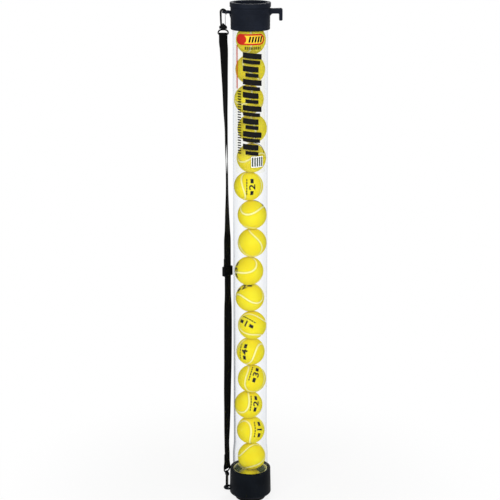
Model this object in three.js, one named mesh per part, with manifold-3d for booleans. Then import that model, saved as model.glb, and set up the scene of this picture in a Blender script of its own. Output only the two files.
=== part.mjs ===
import * as THREE from 'three';
import { mergeVertices } from 'three/addons/utils/BufferGeometryUtils.js';
import Module from 'manifold-3d';

// A pickup tube for tennis balls. A clear tube holds a column of balls. The head at its foot has
// a soft mouth that is pressed over a ball on the ground, and flexible fingers above it keep the
// column from falling back. The balls are poured out of the open collar at the top. A webbing
// strap with a slider runs down the left side between two swivel snap hooks, and an arm on the
// right of the collar hangs the tube on a fence.
//
// Millimetres. +Z is up along the tube, -Y is the front, and the origin is the centre of the foot.

// The whole object
const overallLength = 1190;
const fit = 0.3;
const overrun = 2;
const weldShare = 0.5;
const roundSegments = 48;
const cornerSteps = 3;
const arcSteps = 8;

// Balls, and the room beside them in the tube
const ballDiameter = 67;
const ballPlay = 4.75;
const ballTravel = 48;
const ballDetail = 3;

// Clear tube, belled at its foot
const tubeWall = 1.25;
const bellSwell = 2.35;
const bellLength = 76;
const flareLength = 40;

// Soft mouth ring: a foot that stands on the ground and a lip that grips a ball
const footDrop = 14;
const footRoom = 0.7;
const footWall = 2;
const mouthRoom = 7.8;
const mouthWallRise = 13;
const lipGrip = 1.9;
const lipRise = 24.3;
const lipRound = 0.7;
const lipEdgeDrop = 1.7;
const lipTopInset = 3.9;
const lipRootRise = 14;
const lipRootWall = 4.5;

// Head: the moulding that joins the tube and the mouth
const headHeight = 62;
const headWall = 8.2;
const headChamfer = 1;
const headRimWall = 6.35;
const headRimRound = 1.5;
const seatRibHeight = 2.8;
const seatRibReach = 1.4;
const tubeSeatHeight = 6.3;

// Liner that carries the fingers
const linerWall = 2.3;
const linerHeight = 46;

// Fingers
const fingerLength = 12.5;
const fingerThickness = 2;
const fingerSlopeDegrees = 44;
const fingerHalfAngleDegrees = 26;
const fingerSteps = 6;
const fingerAzimuthDegrees = [-65, 55, 175];

// Top collar
const collarHeight = 59.5;
const collarLowWall = 4;
const collarHighWall = 4.2;
const rimHeight = 10;
const rimWall = 5.8;
const rimRound = 1.2;
const grooveHeight = 1.5;
const grooveDepth = 0.8;
const collarLipHeight = 8;
const collarLipReach = 1.8;
const collarLipRound = 0.8;

// Arm that hangs the tube on a fence
const fenceReach = 27.2;
const fenceWidth = 10;
const fenceLeg = 7.9;
const fenceArm = 11.4;
const fenceTopDrop = 13;
const fenceRise = 0.8;
const fenceDrop = 27.6;
const fenceGussetReach = 4;
const fenceGussetHeight = 4.5;
const fenceRound = 3;
const fenceElbowRound = 5;

// Lugs that the snap hooks hang on: a flat ring on a neck with a gusset
const lugRing = 8.5;
const lugWire = 2.75;
const lugSides = 10;
const lugSteps = 24;
const lugNeckWidth = 12;
const lugNeckShare = 1.4;
const lugGusset = 9.5;
const upperLugDrop = 21.8;
const upperLugStand = 7.5;
const lowerLugRise = 22;
const lowerLugStand = 3.7;
const lowerHookTurnDegrees = -70;

// Snap hooks
const bowClearance = 0.65;
const bowWire = 4.3;
const hookPlate = 4;
const spineLength = 27.5;
const spineFootWidth = 3.5;
const spineLean = 0.6;
const noseLength = 5;
const noseTipInset = 0.5;
const noseTipDrop = 1.5;
const noseEdgeDrop = 2;
const baseWidth = 17.4;
const baseHeight = 9.5;
const baseThickness = 7.5;
const baseShoulder = 3.5;
const baseTopInset = 3.2;
const baseRound = 1.2;
const gateSlotWidth = 4;
const gateSlotWall = 2.7;
const gateSlotFloor = 5.8;
const gateBoss = 1.9;
const gatePinRadius = 0.8;
const gatePinDrop = 31;
const gateThickness = 1.1;
const gateTipDrop = 4.6;
const pinSides = 12;

// Swivel eyes
const rivetHead = 2.4;
const rivetHeadHeight = 2.2;
const rivetStem = 1.8;
const eyeTopBar = 3;
const eyeHoleHeight = 7.7;
const eyeLowBar = 2.5;
const eyeSideBar = 3;
const eyeThickness = 3.2;
const eyeTopRound = 5;
const eyeLowRound = 3;
const eyeHoleRound = 1.5;
const rivetSides = 16;

// Webbing
const webbingWidth = 19;
const webbingThickness = 1.4;
const webbingEase = 0.4;
const layerGap = 0.3;
const foldEase = 0.35;
const foldLength = 16.75;
const foldSewn = 19;
const foldMergeDrop = 15.7;
const webbingStep = 24;
const partingSize = 0.6;
const partingLength = 40;
const partingHeightShare = 0.743;

// Route of the strap: its height as a share of the strap's, its stand-off from the tube as a
// share of the size below, its distance to the front as a share of the lower hook's, and the turn
// of its width in degrees
const strapStand = 14;
const sliderHeightShare = 0.466;
const sliderStandShare = 0.954;
const sliderFrontShare = 0.32;
const sliderTurnDegrees = -42;
const strapBottomTurnDegrees = -54;
const strapTopTurnDegrees = -180;
const lowRouteShares = [
  [0.024, 1.26, 0.94, -55],
  [0.064, 1.206, 0.82, -46],
  [0.116, 1.129, 0.68, -37],
  [0.167, 1.087, 0.56, -28.5],
  [0.244, 0.987, 0.43, -21.5],
  [0.319, 0.941, 0.37, -16.5],
  [0.369, 0.932, 0.34, -23],
];
const highRouteShares = [
  [0.565, 0.946, 0.3, -57],
  [0.612, 0.98, 0.265, -71],
  [0.66, 0.973, 0.235, -82.5],
  [0.707, 0.982, 0.2, -88],
  [0.753, 1.04, 0.165, -95],
  [0.8, 1.065, 0.135, -101.5],
  [0.846, 1.17, 0.105, -114],
  [0.891, 1.21, 0.075, -124],
  [0.936, 1.289, 0.045, -137],
  [0.981, 1.359, 0.012, -157],
];

// Slider on the webbing
const sliderTravel = 40;
const sliderHeight = 22.4;
const sliderRail = 3;
const sliderRailGap = 0.5;
const sliderBarHeight = 3.5;
const sliderBarDepth = 2.25;
const sliderMiddleHeight = 3.6;
const sliderMiddleDepth = 2.4;
const sliderBarGap = 0.4;
const sliderRound = 1;
const sliderFoldHeight = 30;
const sliderFoldSeam = 16;
const sliderFoldEnd = 12;
const sliderFoldBend = 3.8;

// Printed film on the tube
const filmThickness = 0.25;
const filmHeight = 314;
const filmDrop = 4.5;
const filmHalfAngleDegrees = 55;
const filmSteps = 14;

// Places of the balls beside the axis, as shares of their side room, from the foot up
const ballSideShares = [
  [0, 0], [0.7, 0], [0.25, 0.85], [-0.98, 0], [0.85, -0.5], [0.15, 0.95], [0.95, -0.3],
  [-0.2, 0.95], [-0.67, -0.7], [0.95, 0.3], [0.95, -0.3], [-0.9, 0.4], [0.55, -0.8], [0.95, 0.3],
  [-0.7, -0.6], [0, 0.9], [0.3, -0.9],
];

// Sizes and places that follow from the ones above
const facetShare = Math.cos(Math.PI / roundSegments);
const ballRadius = ballDiameter / 2;
const ballSideRoom = ballPlay - fit;
const tubeInner = ballRadius + ballPlay;
const tubeOuter = tubeInner + tubeWall;
const bellInner = tubeInner + bellSwell;
const bellOuter = tubeOuter + bellSwell;

const footInner = ballRadius + footRoom;
const mouthOuter = ballRadius + mouthRoom;
const lipRadius = ballRadius - lipGrip;
const lipEdgeZ = lipRise - lipEdgeDrop;

const headBase = footDrop;
const headTop = headBase + headHeight;
const headFootRadius = mouthOuter + fit + headWall;
const headRimRadius = bellOuter + fit + headRimWall;
const ribBase = lipRise + fit;
const ribTop = ribBase + seatRibHeight;
const linerBase = ribTop + fit;
const linerTop = linerBase + linerHeight;
const linerOuter = bellInner - fit;
const linerInner = linerOuter - linerWall;
const tubeSeat = ribTop + tubeSeatHeight;
const tubeBase = tubeSeat + fit;

const collarBore = tubeOuter + fit;
const collarBase = overallLength - collarHeight;
const collarRadius = collarBore + collarHighWall;
const rimBase = overallLength - rimHeight;
const tubeTop = overallLength - collarLipHeight - fit;

const upperHookZ = overallLength - upperLugDrop;
const upperLugX = collarRadius + upperLugStand;
const upperHookX = upperLugX + lugRing;
const lowerHookTurn = THREE.MathUtils.degToRad(lowerHookTurnDegrees);
const lowerLugX = headFootRadius + lowerLugStand;
const lowerHookX = lowerLugX + lugRing * Math.cos(lowerHookTurn);
const lowerHookFront = lugRing * Math.sin(lowerHookTurn);

const bowInner = lugWire + bowClearance;
const bowOuter = bowInner + bowWire;
const baseBottomDrop = spineLength + baseHeight;
const gatePinOut = gateSlotWall + fit + gateBoss;
const eyeTopDrop = baseBottomDrop + fit;
const eyeHoleTopDrop = eyeTopDrop + eyeTopBar;
const eyeHoleLowDrop = eyeHoleTopDrop + eyeHoleHeight;
const eyeBottomDrop = eyeHoleLowDrop + eyeLowBar;
const eyeBarDrop = (eyeHoleLowDrop + eyeBottomDrop) / 2;
const eyeHoleHalf = webbingWidth / 2 + webbingEase;
const eyeHalf = eyeHoleHalf + eyeSideBar;

const layerInner = layerGap / 2;
const layerOuter = layerInner + webbingThickness;
const layerCentre = (layerInner + layerOuter) / 2;
const foldInner = Math.hypot(eyeThickness, eyeLowBar) / 2 + foldEase;
const foldOuter = foldInner + webbingThickness;
const foldEndDrop = eyeBarDrop + foldLength;
const strapTop = upperHookZ - foldEndDrop - fit;
const strapBottom = lowerLugRise + foldEndDrop + foldSewn + fit;
const strapSpan = strapTop - strapBottom;
const sliderZ = strapBottom + sliderHeightShare * strapSpan;
const returnBottom = sliderZ + sliderFoldHeight + fit;

const wasm = await Module();
wasm.setup();

const black = new THREE.MeshStandardMaterial({ color: 0x15171c, roughness: 0.5 });
const rubber = new THREE.MeshStandardMaterial({ color: 0x24262a, roughness: 0.75 });
const flap = new THREE.MeshStandardMaterial({ color: 0x2c3128, roughness: 0.6 });
const felt = new THREE.MeshStandardMaterial({ color: 0xece03a, roughness: 0.95 });
const webbing = new THREE.MeshStandardMaterial({ color: 0x121316, roughness: 0.85 });
const steel = new THREE.MeshStandardMaterial({ color: 0x1d1e22, roughness: 0.35, metalness: 0.6 });
const clear = new THREE.MeshStandardMaterial({
  color: 0xeef2f4, roughness: 0.12, transparent: true, opacity: 0.3,
});

const turnOf = (degrees) => THREE.MathUtils.degToRad(degrees);

function signedVolume(geometry) {
  const position = geometry.attributes.position;
  const index = geometry.index.array;
  const [a, b, c] = [new THREE.Vector3(), new THREE.Vector3(), new THREE.Vector3()];
  let volume = 0;
  for (let i = 0; i < index.length; i += 3) {
    a.fromBufferAttribute(position, index[i]);
    b.fromBufferAttribute(position, index[i + 1]);
    c.fromBufferAttribute(position, index[i + 2]);
    volume += a.dot(b.cross(c)) / 6;
  }
  return volume;
}

// Shared vertices merged, slivers without area dropped, and faces turned outwards.
function closed(geometry) {
  geometry.deleteAttribute('normal');
  geometry.deleteAttribute('uv');
  const merged = mergeVertices(geometry);
  const index = [];
  for (let i = 0; i < merged.index.count; i += 3) {
    const corners = [0, 1, 2].map((step) => merged.index.getX(i + step));
    if (new Set(corners).size === corners.length) index.push(...corners);
  }
  merged.setIndex(index);
  if (signedVolume(merged) < 0) merged.setIndex(index.reverse());
  return merged;
}

function solid(geometry) {
  const merged = closed(geometry);
  return new wasm.Manifold(new wasm.Mesh({
    numProp: 3,
    vertProperties: new Float32Array(merged.attributes.position.array),
    triVerts: new Uint32Array(merged.index.array),
  }));
}

function geometryOf(manifold) {
  const mesh = manifold.getMesh();
  const geometry = new THREE.BufferGeometry();
  geometry.setAttribute('position', new THREE.Float32BufferAttribute(mesh.vertProperties, 3));
  geometry.setIndex(Array.from(mesh.triVerts));
  return geometry;
}

// A closed profile of [radius, height] points turned about the tube's axis.
function revolve(profile) {
  const points = [...profile, profile[0]].map(([radius, height]) => (
    new THREE.Vector2(radius, height)
  ));
  return closed(new THREE.LatheGeometry(points, roundSegments).rotateX(Math.PI / 2));
}

// Sections of equal count joined side to side, and closed at both ends. Each one is convex.
// Opposite sides are split along the same way, so that twisted strips nest in each other.
function loft(sections) {
  const count = sections[0].length;
  const positions = sections.flat().flatMap((point) => point.toArray());
  const index = [];
  for (let s = 0; s < sections.length - 1; s += 1) {
    for (let i = 0; i < count; i += 1) {
      const [a, b] = [s * count + i, s * count + (i + 1) % count];
      if (i < count / 2) index.push(a, b, b + count, a, b + count, a + count);
      else index.push(a, b, a + count, b, b + count, a + count);
    }
  }
  const last = (sections.length - 1) * count;
  for (let i = 1; i < count - 1; i += 1) {
    index.push(0, i + 1, i, last, last + i, last + i + 1);
  }
  const geometry = new THREE.BufferGeometry();
  geometry.setAttribute('position', new THREE.Float32BufferAttribute(positions, 3));
  geometry.setIndex(index);
  return closed(geometry);
}

// An outline of straight sides. Each corner is [across, up, rounding].
function outline(corners) {
  const shape = new THREE.Shape();
  const places = corners.map(([across, up]) => new THREE.Vector2(across, up));
  corners.forEach(([across, up, rounding = 0], i) => {
    const towards = (other) => places[i].clone().add(
      other.clone().sub(places[i]).setLength(rounding),
    );
    const start = towards(places.at(i - 1));
    const end = towards(places[(i + 1) % places.length]);
    if (i === 0) shape.moveTo(start.x, start.y);
    else shape.lineTo(start.x, start.y);
    if (rounding > 0) shape.quadraticCurveTo(across, up, end.x, end.y);
  });
  shape.closePath();
  return shape;
}

// An outline in X and Z made into a plate, centred on Y.
function plate(shape, thickness, curveSegments = cornerSteps) {
  const geometry = new THREE.ExtrudeGeometry(shape, {
    depth: thickness, bevelEnabled: false, curveSegments,
  });
  return geometry.translate(0, 0, -thickness / 2).rotateX(Math.PI / 2);
}

function block(from, to) {
  const size = to.map((value, i) => value - from[i]);
  return new THREE.BoxGeometry(...size).translate(...from.map((value, i) => value + size[i] / 2));
}

function part(name, geometry, material) {
  const mesh = new THREE.Mesh(geometry, material);
  mesh.name = name;
  return mesh;
}

// A curve through rows of [place, value] that never swings past them.
function throughRows(rows, place) {
  const slope = (i) => (rows[i + 1][1] - rows[i][1]) / (rows[i + 1][0] - rows[i][0]);
  const tangent = (i) => {
    if (i === 0) return slope(0);
    if (i === rows.length - 1) return slope(i - 1);
    const [before, after] = [slope(i - 1), slope(i)];
    return before * after > 0 ? (2 * before * after) / (before + after) : 0;
  };
  const found = rows.findIndex((row) => row[0] > place);
  const i = Math.max(0, (found < 0 ? rows.length - 1 : found) - 1);
  const width = rows[i + 1][0] - rows[i][0];
  const t = THREE.MathUtils.clamp((place - rows[i][0]) / width, 0, 1);
  return (2 * t ** 3 - 3 * t ** 2 + 1) * rows[i][1] + (t ** 3 - 2 * t ** 2 + t) * width * tangent(i)
    + (3 * t ** 2 - 2 * t ** 3) * rows[i + 1][1] + (t ** 3 - t ** 2) * width * tangent(i + 1);
}

function tube() {
  const flareTop = tubeBase + bellLength + flareLength;
  const flareBase = tubeBase + bellLength;
  return part('tube', revolve([
    [bellInner, tubeBase], [bellOuter, tubeBase], [bellOuter, flareBase], [tubeOuter, flareTop],
    [tubeOuter, tubeTop], [tubeInner, tubeTop], [tubeInner, flareTop], [bellInner, flareBase],
  ]), clear);
}

// The ring of a lug lies flat, and its neck and gusset run back into the wall that carries it.
function lug(rootX, wallX, ringX, height, gusset) {
  const ring = new THREE.TorusGeometry(lugRing, lugWire, lugSides, lugSteps);
  const neckEnd = ringX - lugRing + lugNeckShare * lugWire;
  const neck = outline([
    [rootX, height + lugWire], [neckEnd, height + lugWire], [neckEnd, height - lugWire],
    [wallX, height - lugWire - gusset], [rootX, height - lugWire - gusset],
  ]);
  return solid(ring.translate(ringX, 0, height)).add(solid(plate(neck, lugNeckWidth)))
    .rotate([0, 0, 180]);
}

function topCollar() {
  const lipInner = collarBore - collarLipReach;
  const lipBase = overallLength - collarLipHeight;
  const rimRadius = collarBore + rimWall;
  const grooveRadius = collarRadius - grooveDepth;
  const grooveBase = rimBase - grooveHeight;
  const shell = revolve([
    [collarBore, collarBase], [collarBore + collarLowWall, collarBase],
    [collarRadius, grooveBase], [grooveRadius, grooveBase], [grooveRadius, rimBase],
    [rimRadius, rimBase], [rimRadius, overallLength - rimRound],
    [rimRadius - rimRound, overallLength], [lipInner + collarLipRound, overallLength],
    [lipInner, overallLength - collarLipRound], [lipInner, lipBase], [collarBore, lipBase],
  ]);
  const root = collarBore + weldShare * collarHighWall;
  const armTop = overallLength - fenceTopDrop;
  const armRootTop = armTop - fenceRise;
  const armUnder = armRootTop - fenceArm;
  const legTip = armTop - fenceDrop;
  const legOuter = collarRadius + fenceReach;
  const legInner = legOuter - fenceLeg;
  const gussetEnd = collarRadius + fenceGussetReach;
  const arm = outline([
    [root, armUnder - fenceGussetHeight], [collarRadius, armUnder - fenceGussetHeight],
    [gussetEnd, armUnder, fenceRound], [legInner, armUnder, fenceRound],
    [legInner, legTip, fenceRound], [legOuter, legTip, fenceRound],
    [legOuter, armTop, fenceElbowRound], [gussetEnd, armRootTop, fenceRound],
    [collarRadius, armTop], [root, armTop],
  ]);
  const wallRoot = collarBore + weldShare * collarLowWall;
  const collar = solid(shell).add(solid(plate(arm, fenceWidth)))
    .add(lug(wallRoot, collarRadius, upperLugX, upperHookZ, lugGusset));
  return part('top_collar', geometryOf(collar), black);
}

function head() {
  const mouthBore = mouthOuter + fit;
  const linerBore = linerOuter + fit;
  const ribRadius = linerBore - seatRibReach - fit;
  const rimInner = bellOuter + fit;
  const shell = revolve([
    [mouthBore, headBase], [headFootRadius - headChamfer, headBase],
    [headFootRadius, headBase + headChamfer], [headRimRadius, headTop - headRimRound],
    [headRimRadius - headRimRound, headTop], [rimInner, headTop], [rimInner, tubeSeat],
    [linerBore, tubeSeat], [linerBore, ribTop], [ribRadius, ribTop], [ribRadius, ribBase],
    [mouthBore, ribBase],
  ]);
  const root = mouthBore + weldShare * headWall;
  const wallX = headRimRadius;
  const gusset = lowerLugRise - lugWire - headBase - headChamfer;
  const moulding = solid(shell).add(lug(root, wallX, lowerLugX, lowerLugRise, gusset));
  return part('head', geometryOf(moulding), black);
}

// The mouth ring, from the inside of the foot round the outside to the lip's edge.
function mouthRing() {
  return part('mouth_ring', revolve([
    [footInner, 0], [footInner + footWall, 0], [mouthOuter, mouthWallRise],
    [mouthOuter, lipRise], [lipRadius + lipTopInset, lipRise],
    [lipRadius + lipRound, lipRise - lipRound], [lipRadius, lipEdgeZ],
    [lipRadius + lipRound / 2, lipEdgeZ - 2 * lipRound],
    [mouthOuter - lipRootWall, lipRootRise],
  ]), rubber);
}

function liner() {
  return part('liner', revolve([
    [linerInner, linerBase], [linerOuter, linerBase], [linerOuter, linerTop],
    [linerInner, linerTop],
  ]), flap);
}

// A finger is a strip of a cone that leans inwards and up from its hinge at the liner's top.
const fingerSlope = turnOf(fingerSlopeDegrees);
const hingeRadius = (linerInner + linerOuter) / 2 - fit;
const hingeHeight = linerTop + fit + fingerThickness * Math.cos(fingerSlope) / 2 + fit / 2;

// The four corners of a finger's section, as [radius, height].
function fingerCorners() {
  const along = [-Math.cos(fingerSlope), Math.sin(fingerSlope)];
  const across = [Math.sin(fingerSlope), Math.cos(fingerSlope)];
  return [[0, -1], [0, 1], [1, 1], [1, -1]].map(([far, side]) => [
    hingeRadius + far * fingerLength * along[0] + side * fingerThickness / 2 * across[0],
    hingeHeight + far * fingerLength * along[1] + side * fingerThickness / 2 * across[1],
  ]);
}

function finger(number, azimuthDegrees) {
  const sections = [];
  for (let step = 0; step <= fingerSteps; step += 1) {
    const swing = (2 * step / fingerSteps - 1) * fingerHalfAngleDegrees;
    const azimuth = turnOf(azimuthDegrees + swing);
    sections.push(fingerCorners().map(([radius, height]) => new THREE.Vector3(
      radius * Math.sin(azimuth), -radius * Math.cos(azimuth), height,
    )));
  }
  return part(`finger_${number}`, loft(sections), flap);
}

// The lowest place where a ball beside the axis rests, a fit above the points that carry it.
function restingHeight(points, side) {
  return Math.max(...points.map(([x, y, height]) => {
    const rise = (ballRadius + fit) ** 2 - (x - side.x) ** 2 - (y - side.y) ** 2;
    return rise > 0 ? height + Math.sqrt(rise) : 0;
  }));
}

function fingerTips() {
  const [tip] = fingerCorners().slice(2).sort((a, b) => b[1] - a[1]);
  const low = fingerCorners()[3];
  return fingerAzimuthDegrees.flatMap((middle) => [-1, 0, 1].flatMap((side) => {
    const azimuth = turnOf(middle + side * fingerHalfAngleDegrees);
    return [tip, low].map(([radius, height]) => [
      radius * Math.sin(azimuth), -radius * Math.cos(azimuth), height,
    ]);
  }));
}

// Balls from the mouth up, while the next one still fits below the rim with its travel.
function balls() {
  const column = [];
  const highest = overallLength - ballTravel - ballRadius;
  for (let i = 0; ; i += 1) {
    const [across, back] = ballSideShares[i % ballSideShares.length];
    const side = new THREE.Vector2(across * ballSideRoom, back * ballSideRoom);
    let height;
    if (i === 0) {
      height = restingHeight([[lipRadius * facetShare, 0, lipEdgeZ]], side);
    } else {
      const below = column[i - 1];
      const apart = side.distanceTo(below);
      height = below.z + Math.sqrt((ballDiameter + fit) ** 2 - apart ** 2);
      if (i === 1) height = Math.max(height, restingHeight(fingerTips(), side));
    }
    if (height > highest) break;
    column.push(new THREE.Vector3(side.x, side.y, height));
  }
  return column.map((place, i) => {
    const geometry = closed(new THREE.IcosahedronGeometry(ballRadius, ballDetail));
    const ball = part(`ball_${String(i + 1).padStart(2, '0')}`, geometry, felt);
    ball.position.copy(place);
    return ball;
  });
}

// Snap hooks and eyes are drawn about the bar that the hook hangs on: X points out from the
// tube, Z up the shank, and the shank runs down from the bar.
const noseEdgeOut = bowOuter - noseTipInset;
const noseTipHeight = -(noseLength + noseTipDrop);

function bowShape() {
  const shape = new THREE.Shape();
  const spineInner = bowInner - spineLean;
  shape.moveTo(spineInner + spineFootWidth, -spineLength - overrun);
  shape.lineTo(bowOuter, 0);
  shape.absarc(0, 0, bowOuter, 0, Math.PI, false);
  shape.lineTo(-bowOuter, -noseLength);
  shape.lineTo(-noseEdgeOut, noseTipHeight);
  shape.lineTo(-bowInner, -noseEdgeDrop);
  shape.lineTo(-bowInner, 0);
  shape.absarc(0, 0, bowInner, Math.PI, 0, true);
  shape.lineTo(spineInner, -spineLength - overrun);
  shape.closePath();
  return shape;
}

function pinAcross(radius, length) {
  return new THREE.CylinderGeometry(radius, radius, length, pinSides);
}

function hookBody(name) {
  const half = baseWidth / 2;
  const base = outline([
    [half - baseTopInset, -spineLength], [half, -spineLength - baseShoulder, baseRound],
    [half, -baseBottomDrop, baseRound], [-half, -baseBottomDrop, baseRound],
    [-half, -spineLength - baseShoulder, baseRound], [baseTopInset - half, -spineLength],
  ]);
  const stemHole = new THREE.CylinderGeometry(
    rivetStem + fit, rivetStem + fit, baseHeight + 2 * overrun, rivetSides,
  ).rotateX(Math.PI / 2).translate(0, 0, -spineLength - baseHeight / 2);
  const slot = block(
    [-half - overrun, -gateSlotWidth / 2, -spineLength - gateSlotFloor],
    [-gateSlotWall, gateSlotWidth / 2, -spineLength + overrun],
  );
  const pinHole = pinAcross(gatePinRadius + fit, baseThickness + overrun)
    .translate(-gatePinOut, 0, -gatePinDrop);
  const body = solid(plate(base, baseThickness)).add(solid(plate(bowShape(), hookPlate, arcSteps)))
    .subtract(solid(stemHole)).subtract(solid(slot)).subtract(solid(pinHole));
  return part(name, geometryOf(body), steel);
}

function gate(name) {
  const edgeShare = (gateTipDrop - noseEdgeDrop) / (-noseTipHeight - noseEdgeDrop);
  const edgeOut = bowInner + edgeShare * (noseEdgeOut - bowInner);
  const tipOuter = edgeOut - fit;
  const strip = outline([
    [-gatePinOut - gateThickness / 2, -gatePinDrop], [-gatePinOut + gateThickness / 2, -gatePinDrop],
    [-tipOuter + gateThickness, -gateTipDrop], [-tipOuter, -gateTipDrop],
  ]);
  const width = gateSlotWidth - 2 * fit;
  const boss = pinAcross(gateBoss, width).translate(-gatePinOut, 0, -gatePinDrop);
  const bore = pinAcross(gatePinRadius + fit, width + overrun)
    .translate(-gatePinOut, 0, -gatePinDrop);
  return part(name, geometryOf(solid(plate(strip, width)).add(solid(boss)).subtract(solid(bore))), steel);
}

function gatePin(name) {
  const pin = pinAcross(gatePinRadius, baseThickness).translate(-gatePinOut, 0, -gatePinDrop);
  return part(name, closed(pin), steel);
}

function eye(name) {
  const loop = outline([
    [eyeHalf, -eyeTopDrop, eyeTopRound], [-eyeHalf, -eyeTopDrop, eyeTopRound],
    [-eyeHalf, -eyeBottomDrop, eyeLowRound], [eyeHalf, -eyeBottomDrop, eyeLowRound],
  ]);
  loop.holes.push(outline([
    [eyeHoleHalf, -eyeHoleTopDrop, eyeHoleRound], [-eyeHoleHalf, -eyeHoleTopDrop, eyeHoleRound],
    [-eyeHoleHalf, -eyeHoleLowDrop, 0], [eyeHoleHalf, -eyeHoleLowDrop, 0],
  ]));
  const headDrop = spineLength - fit;
  const rivet = new THREE.CylinderGeometry(rivetHead, rivetHead, rivetHeadHeight, rivetSides)
    .rotateX(Math.PI / 2).translate(0, 0, rivetHeadHeight / 2 - headDrop);
  const stemEnd = eyeTopDrop + eyeTopBar / 2;
  const stemLength = stemEnd - headDrop + rivetHeadHeight / 2;
  const stem = new THREE.CylinderGeometry(rivetStem, rivetStem, stemLength, rivetSides)
    .rotateX(Math.PI / 2).translate(0, 0, stemLength / 2 - stemEnd);
  const swivel = solid(plate(loop, eyeThickness)).add(solid(rivet)).add(solid(stem));
  return part(name, geometryOf(swivel), steel);
}

// Webbing round an eye's bar, drawn as the section across the bar: X is the way through it.
function foldOutline(endDrop, isOpen) {
  const shape = new THREE.Shape();
  shape.moveTo(layerOuter, -endDrop);
  shape.lineTo(layerOuter, -foldEndDrop);
  shape.lineTo(foldOuter, -eyeBarDrop);
  shape.absarc(0, -eyeBarDrop, foldOuter, 0, Math.PI, false);
  shape.lineTo(-layerOuter, -foldEndDrop);
  shape.lineTo(-layerOuter, -endDrop);
  const inside = new THREE.Path();
  if (isOpen) {
    shape.lineTo(-layerInner, -endDrop);
    shape.lineTo(-foldInner, -eyeBarDrop);
    shape.absarc(0, -eyeBarDrop, foldInner, Math.PI, 0, true);
    shape.lineTo(layerInner, -endDrop);
    shape.closePath();
    return shape;
  }
  shape.closePath();
  inside.moveTo(0, -eyeBarDrop - foldMergeDrop);
  inside.lineTo(foldInner, -eyeBarDrop);
  inside.absarc(0, -eyeBarDrop, foldInner, 0, Math.PI, false);
  inside.closePath();
  shape.holes.push(inside);
  return shape;
}

function fold(name, endDrop, isOpen) {
  const strip = plate(foldOutline(endDrop, isOpen), webbingWidth, arcSteps).rotateZ(Math.PI / 2);
  return part(name, closed(strip), webbing);
}

function snapHook(prefix) {
  const hook = new THREE.Group();
  hook.add(hookBody(`${prefix}_hook`), gate(`${prefix}_gate`), gatePin(`${prefix}_gate_pin`));
  return hook;
}

function upperHook() {
  const hook = snapHook('upper');
  hook.add(eye('upper_eye'), fold('strap_top_fold', foldEndDrop, true));
  hook.position.set(-upperHookX, 0, upperHookZ);
  hook.rotation.set(0, 0, Math.PI);
  return hook;
}

// The lower hook stands on its head, and its eye faces the way that the strap starts.
function lowerHook() {
  const hook = snapHook('lower');
  hook.rotation.set(Math.PI, 0, Math.PI + lowerHookTurn, 'ZYX');
  const swivel = new THREE.Group();
  swivel.add(eye('lower_eye'), fold('strap_bottom_fold', foldEndDrop + foldSewn, false));
  swivel.rotation.set(Math.PI, 0, -turnOf(strapBottomTurnDegrees), 'ZYX');
  const lower = new THREE.Group();
  lower.add(hook, swivel);
  lower.position.set(-lowerHookX, -lowerHookFront, lowerLugRise);
  return lower;
}

// The strap's route: rows of height, distance left, distance to the front and turn in degrees.
function strapRows() {
  const row = ([heightShare, standShare, frontShare, turn]) => [
    strapBottom + heightShare * strapSpan, tubeOuter + standShare * strapStand,
    frontShare * lowerHookFront, turn,
  ];
  const straight = [sliderStandShare, sliderFrontShare, sliderTurnDegrees];
  const straightBase = sliderZ - sliderTravel - sliderHeight / 2;
  const straightTop = returnBottom + sliderTravel;
  return [
    [strapBottom, lowerHookX, lowerHookFront, strapBottomTurnDegrees],
    ...lowRouteShares.map(row),
    [straightBase, ...row([0, ...straight]).slice(1)],
    [straightTop, ...row([0, ...straight]).slice(1)],
    ...highRouteShares.map(row),
    [strapTop, upperHookX, 0, strapTopTurnDegrees],
  ];
}

const rows = strapRows();

// The strap's frame at a height: its centre, its width and the way through it to the back.
function strapFrame(height) {
  const [left, front, turn] = [1, 2, 3].map((column) => (
    throughRows(rows.map((row) => [row[0], row[column]]), height)
  ));
  const angle = turnOf(turn);
  return {
    centre: new THREE.Vector3(-left, -front, height),
    width: new THREE.Vector3(Math.cos(angle), -Math.sin(angle), 0),
    back: new THREE.Vector3(Math.sin(angle), Math.cos(angle), 0),
    turn: angle,
  };
}

// One layer of webbing between two heights, on the front (-1) or back (1) of the centre line.
function strapLayer(name, from, to, side) {
  const steps = Math.floor((to - from) / webbingStep);
  const sections = [];
  for (let step = steps + 1; step >= 0; step -= 1) {
    const height = Math.max(from, to - step * webbingStep);
    const { centre, width, back } = strapFrame(height);
    const away = (height - strapBottom - partingHeightShare * strapSpan) / partingLength;
    const middle = side * (layerCentre + partingSize * Math.exp(-away * away / 2));
    const corner = (across, through) => centre.clone()
      .addScaledVector(width, across * webbingWidth / 2)
      .addScaledVector(back, middle + through * webbingThickness / 2);
    sections.push([corner(-1, -1), corner(1, -1), corner(1, 1), corner(-1, 1)]);
  }
  return part(name, loft(sections), webbing);
}

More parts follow.
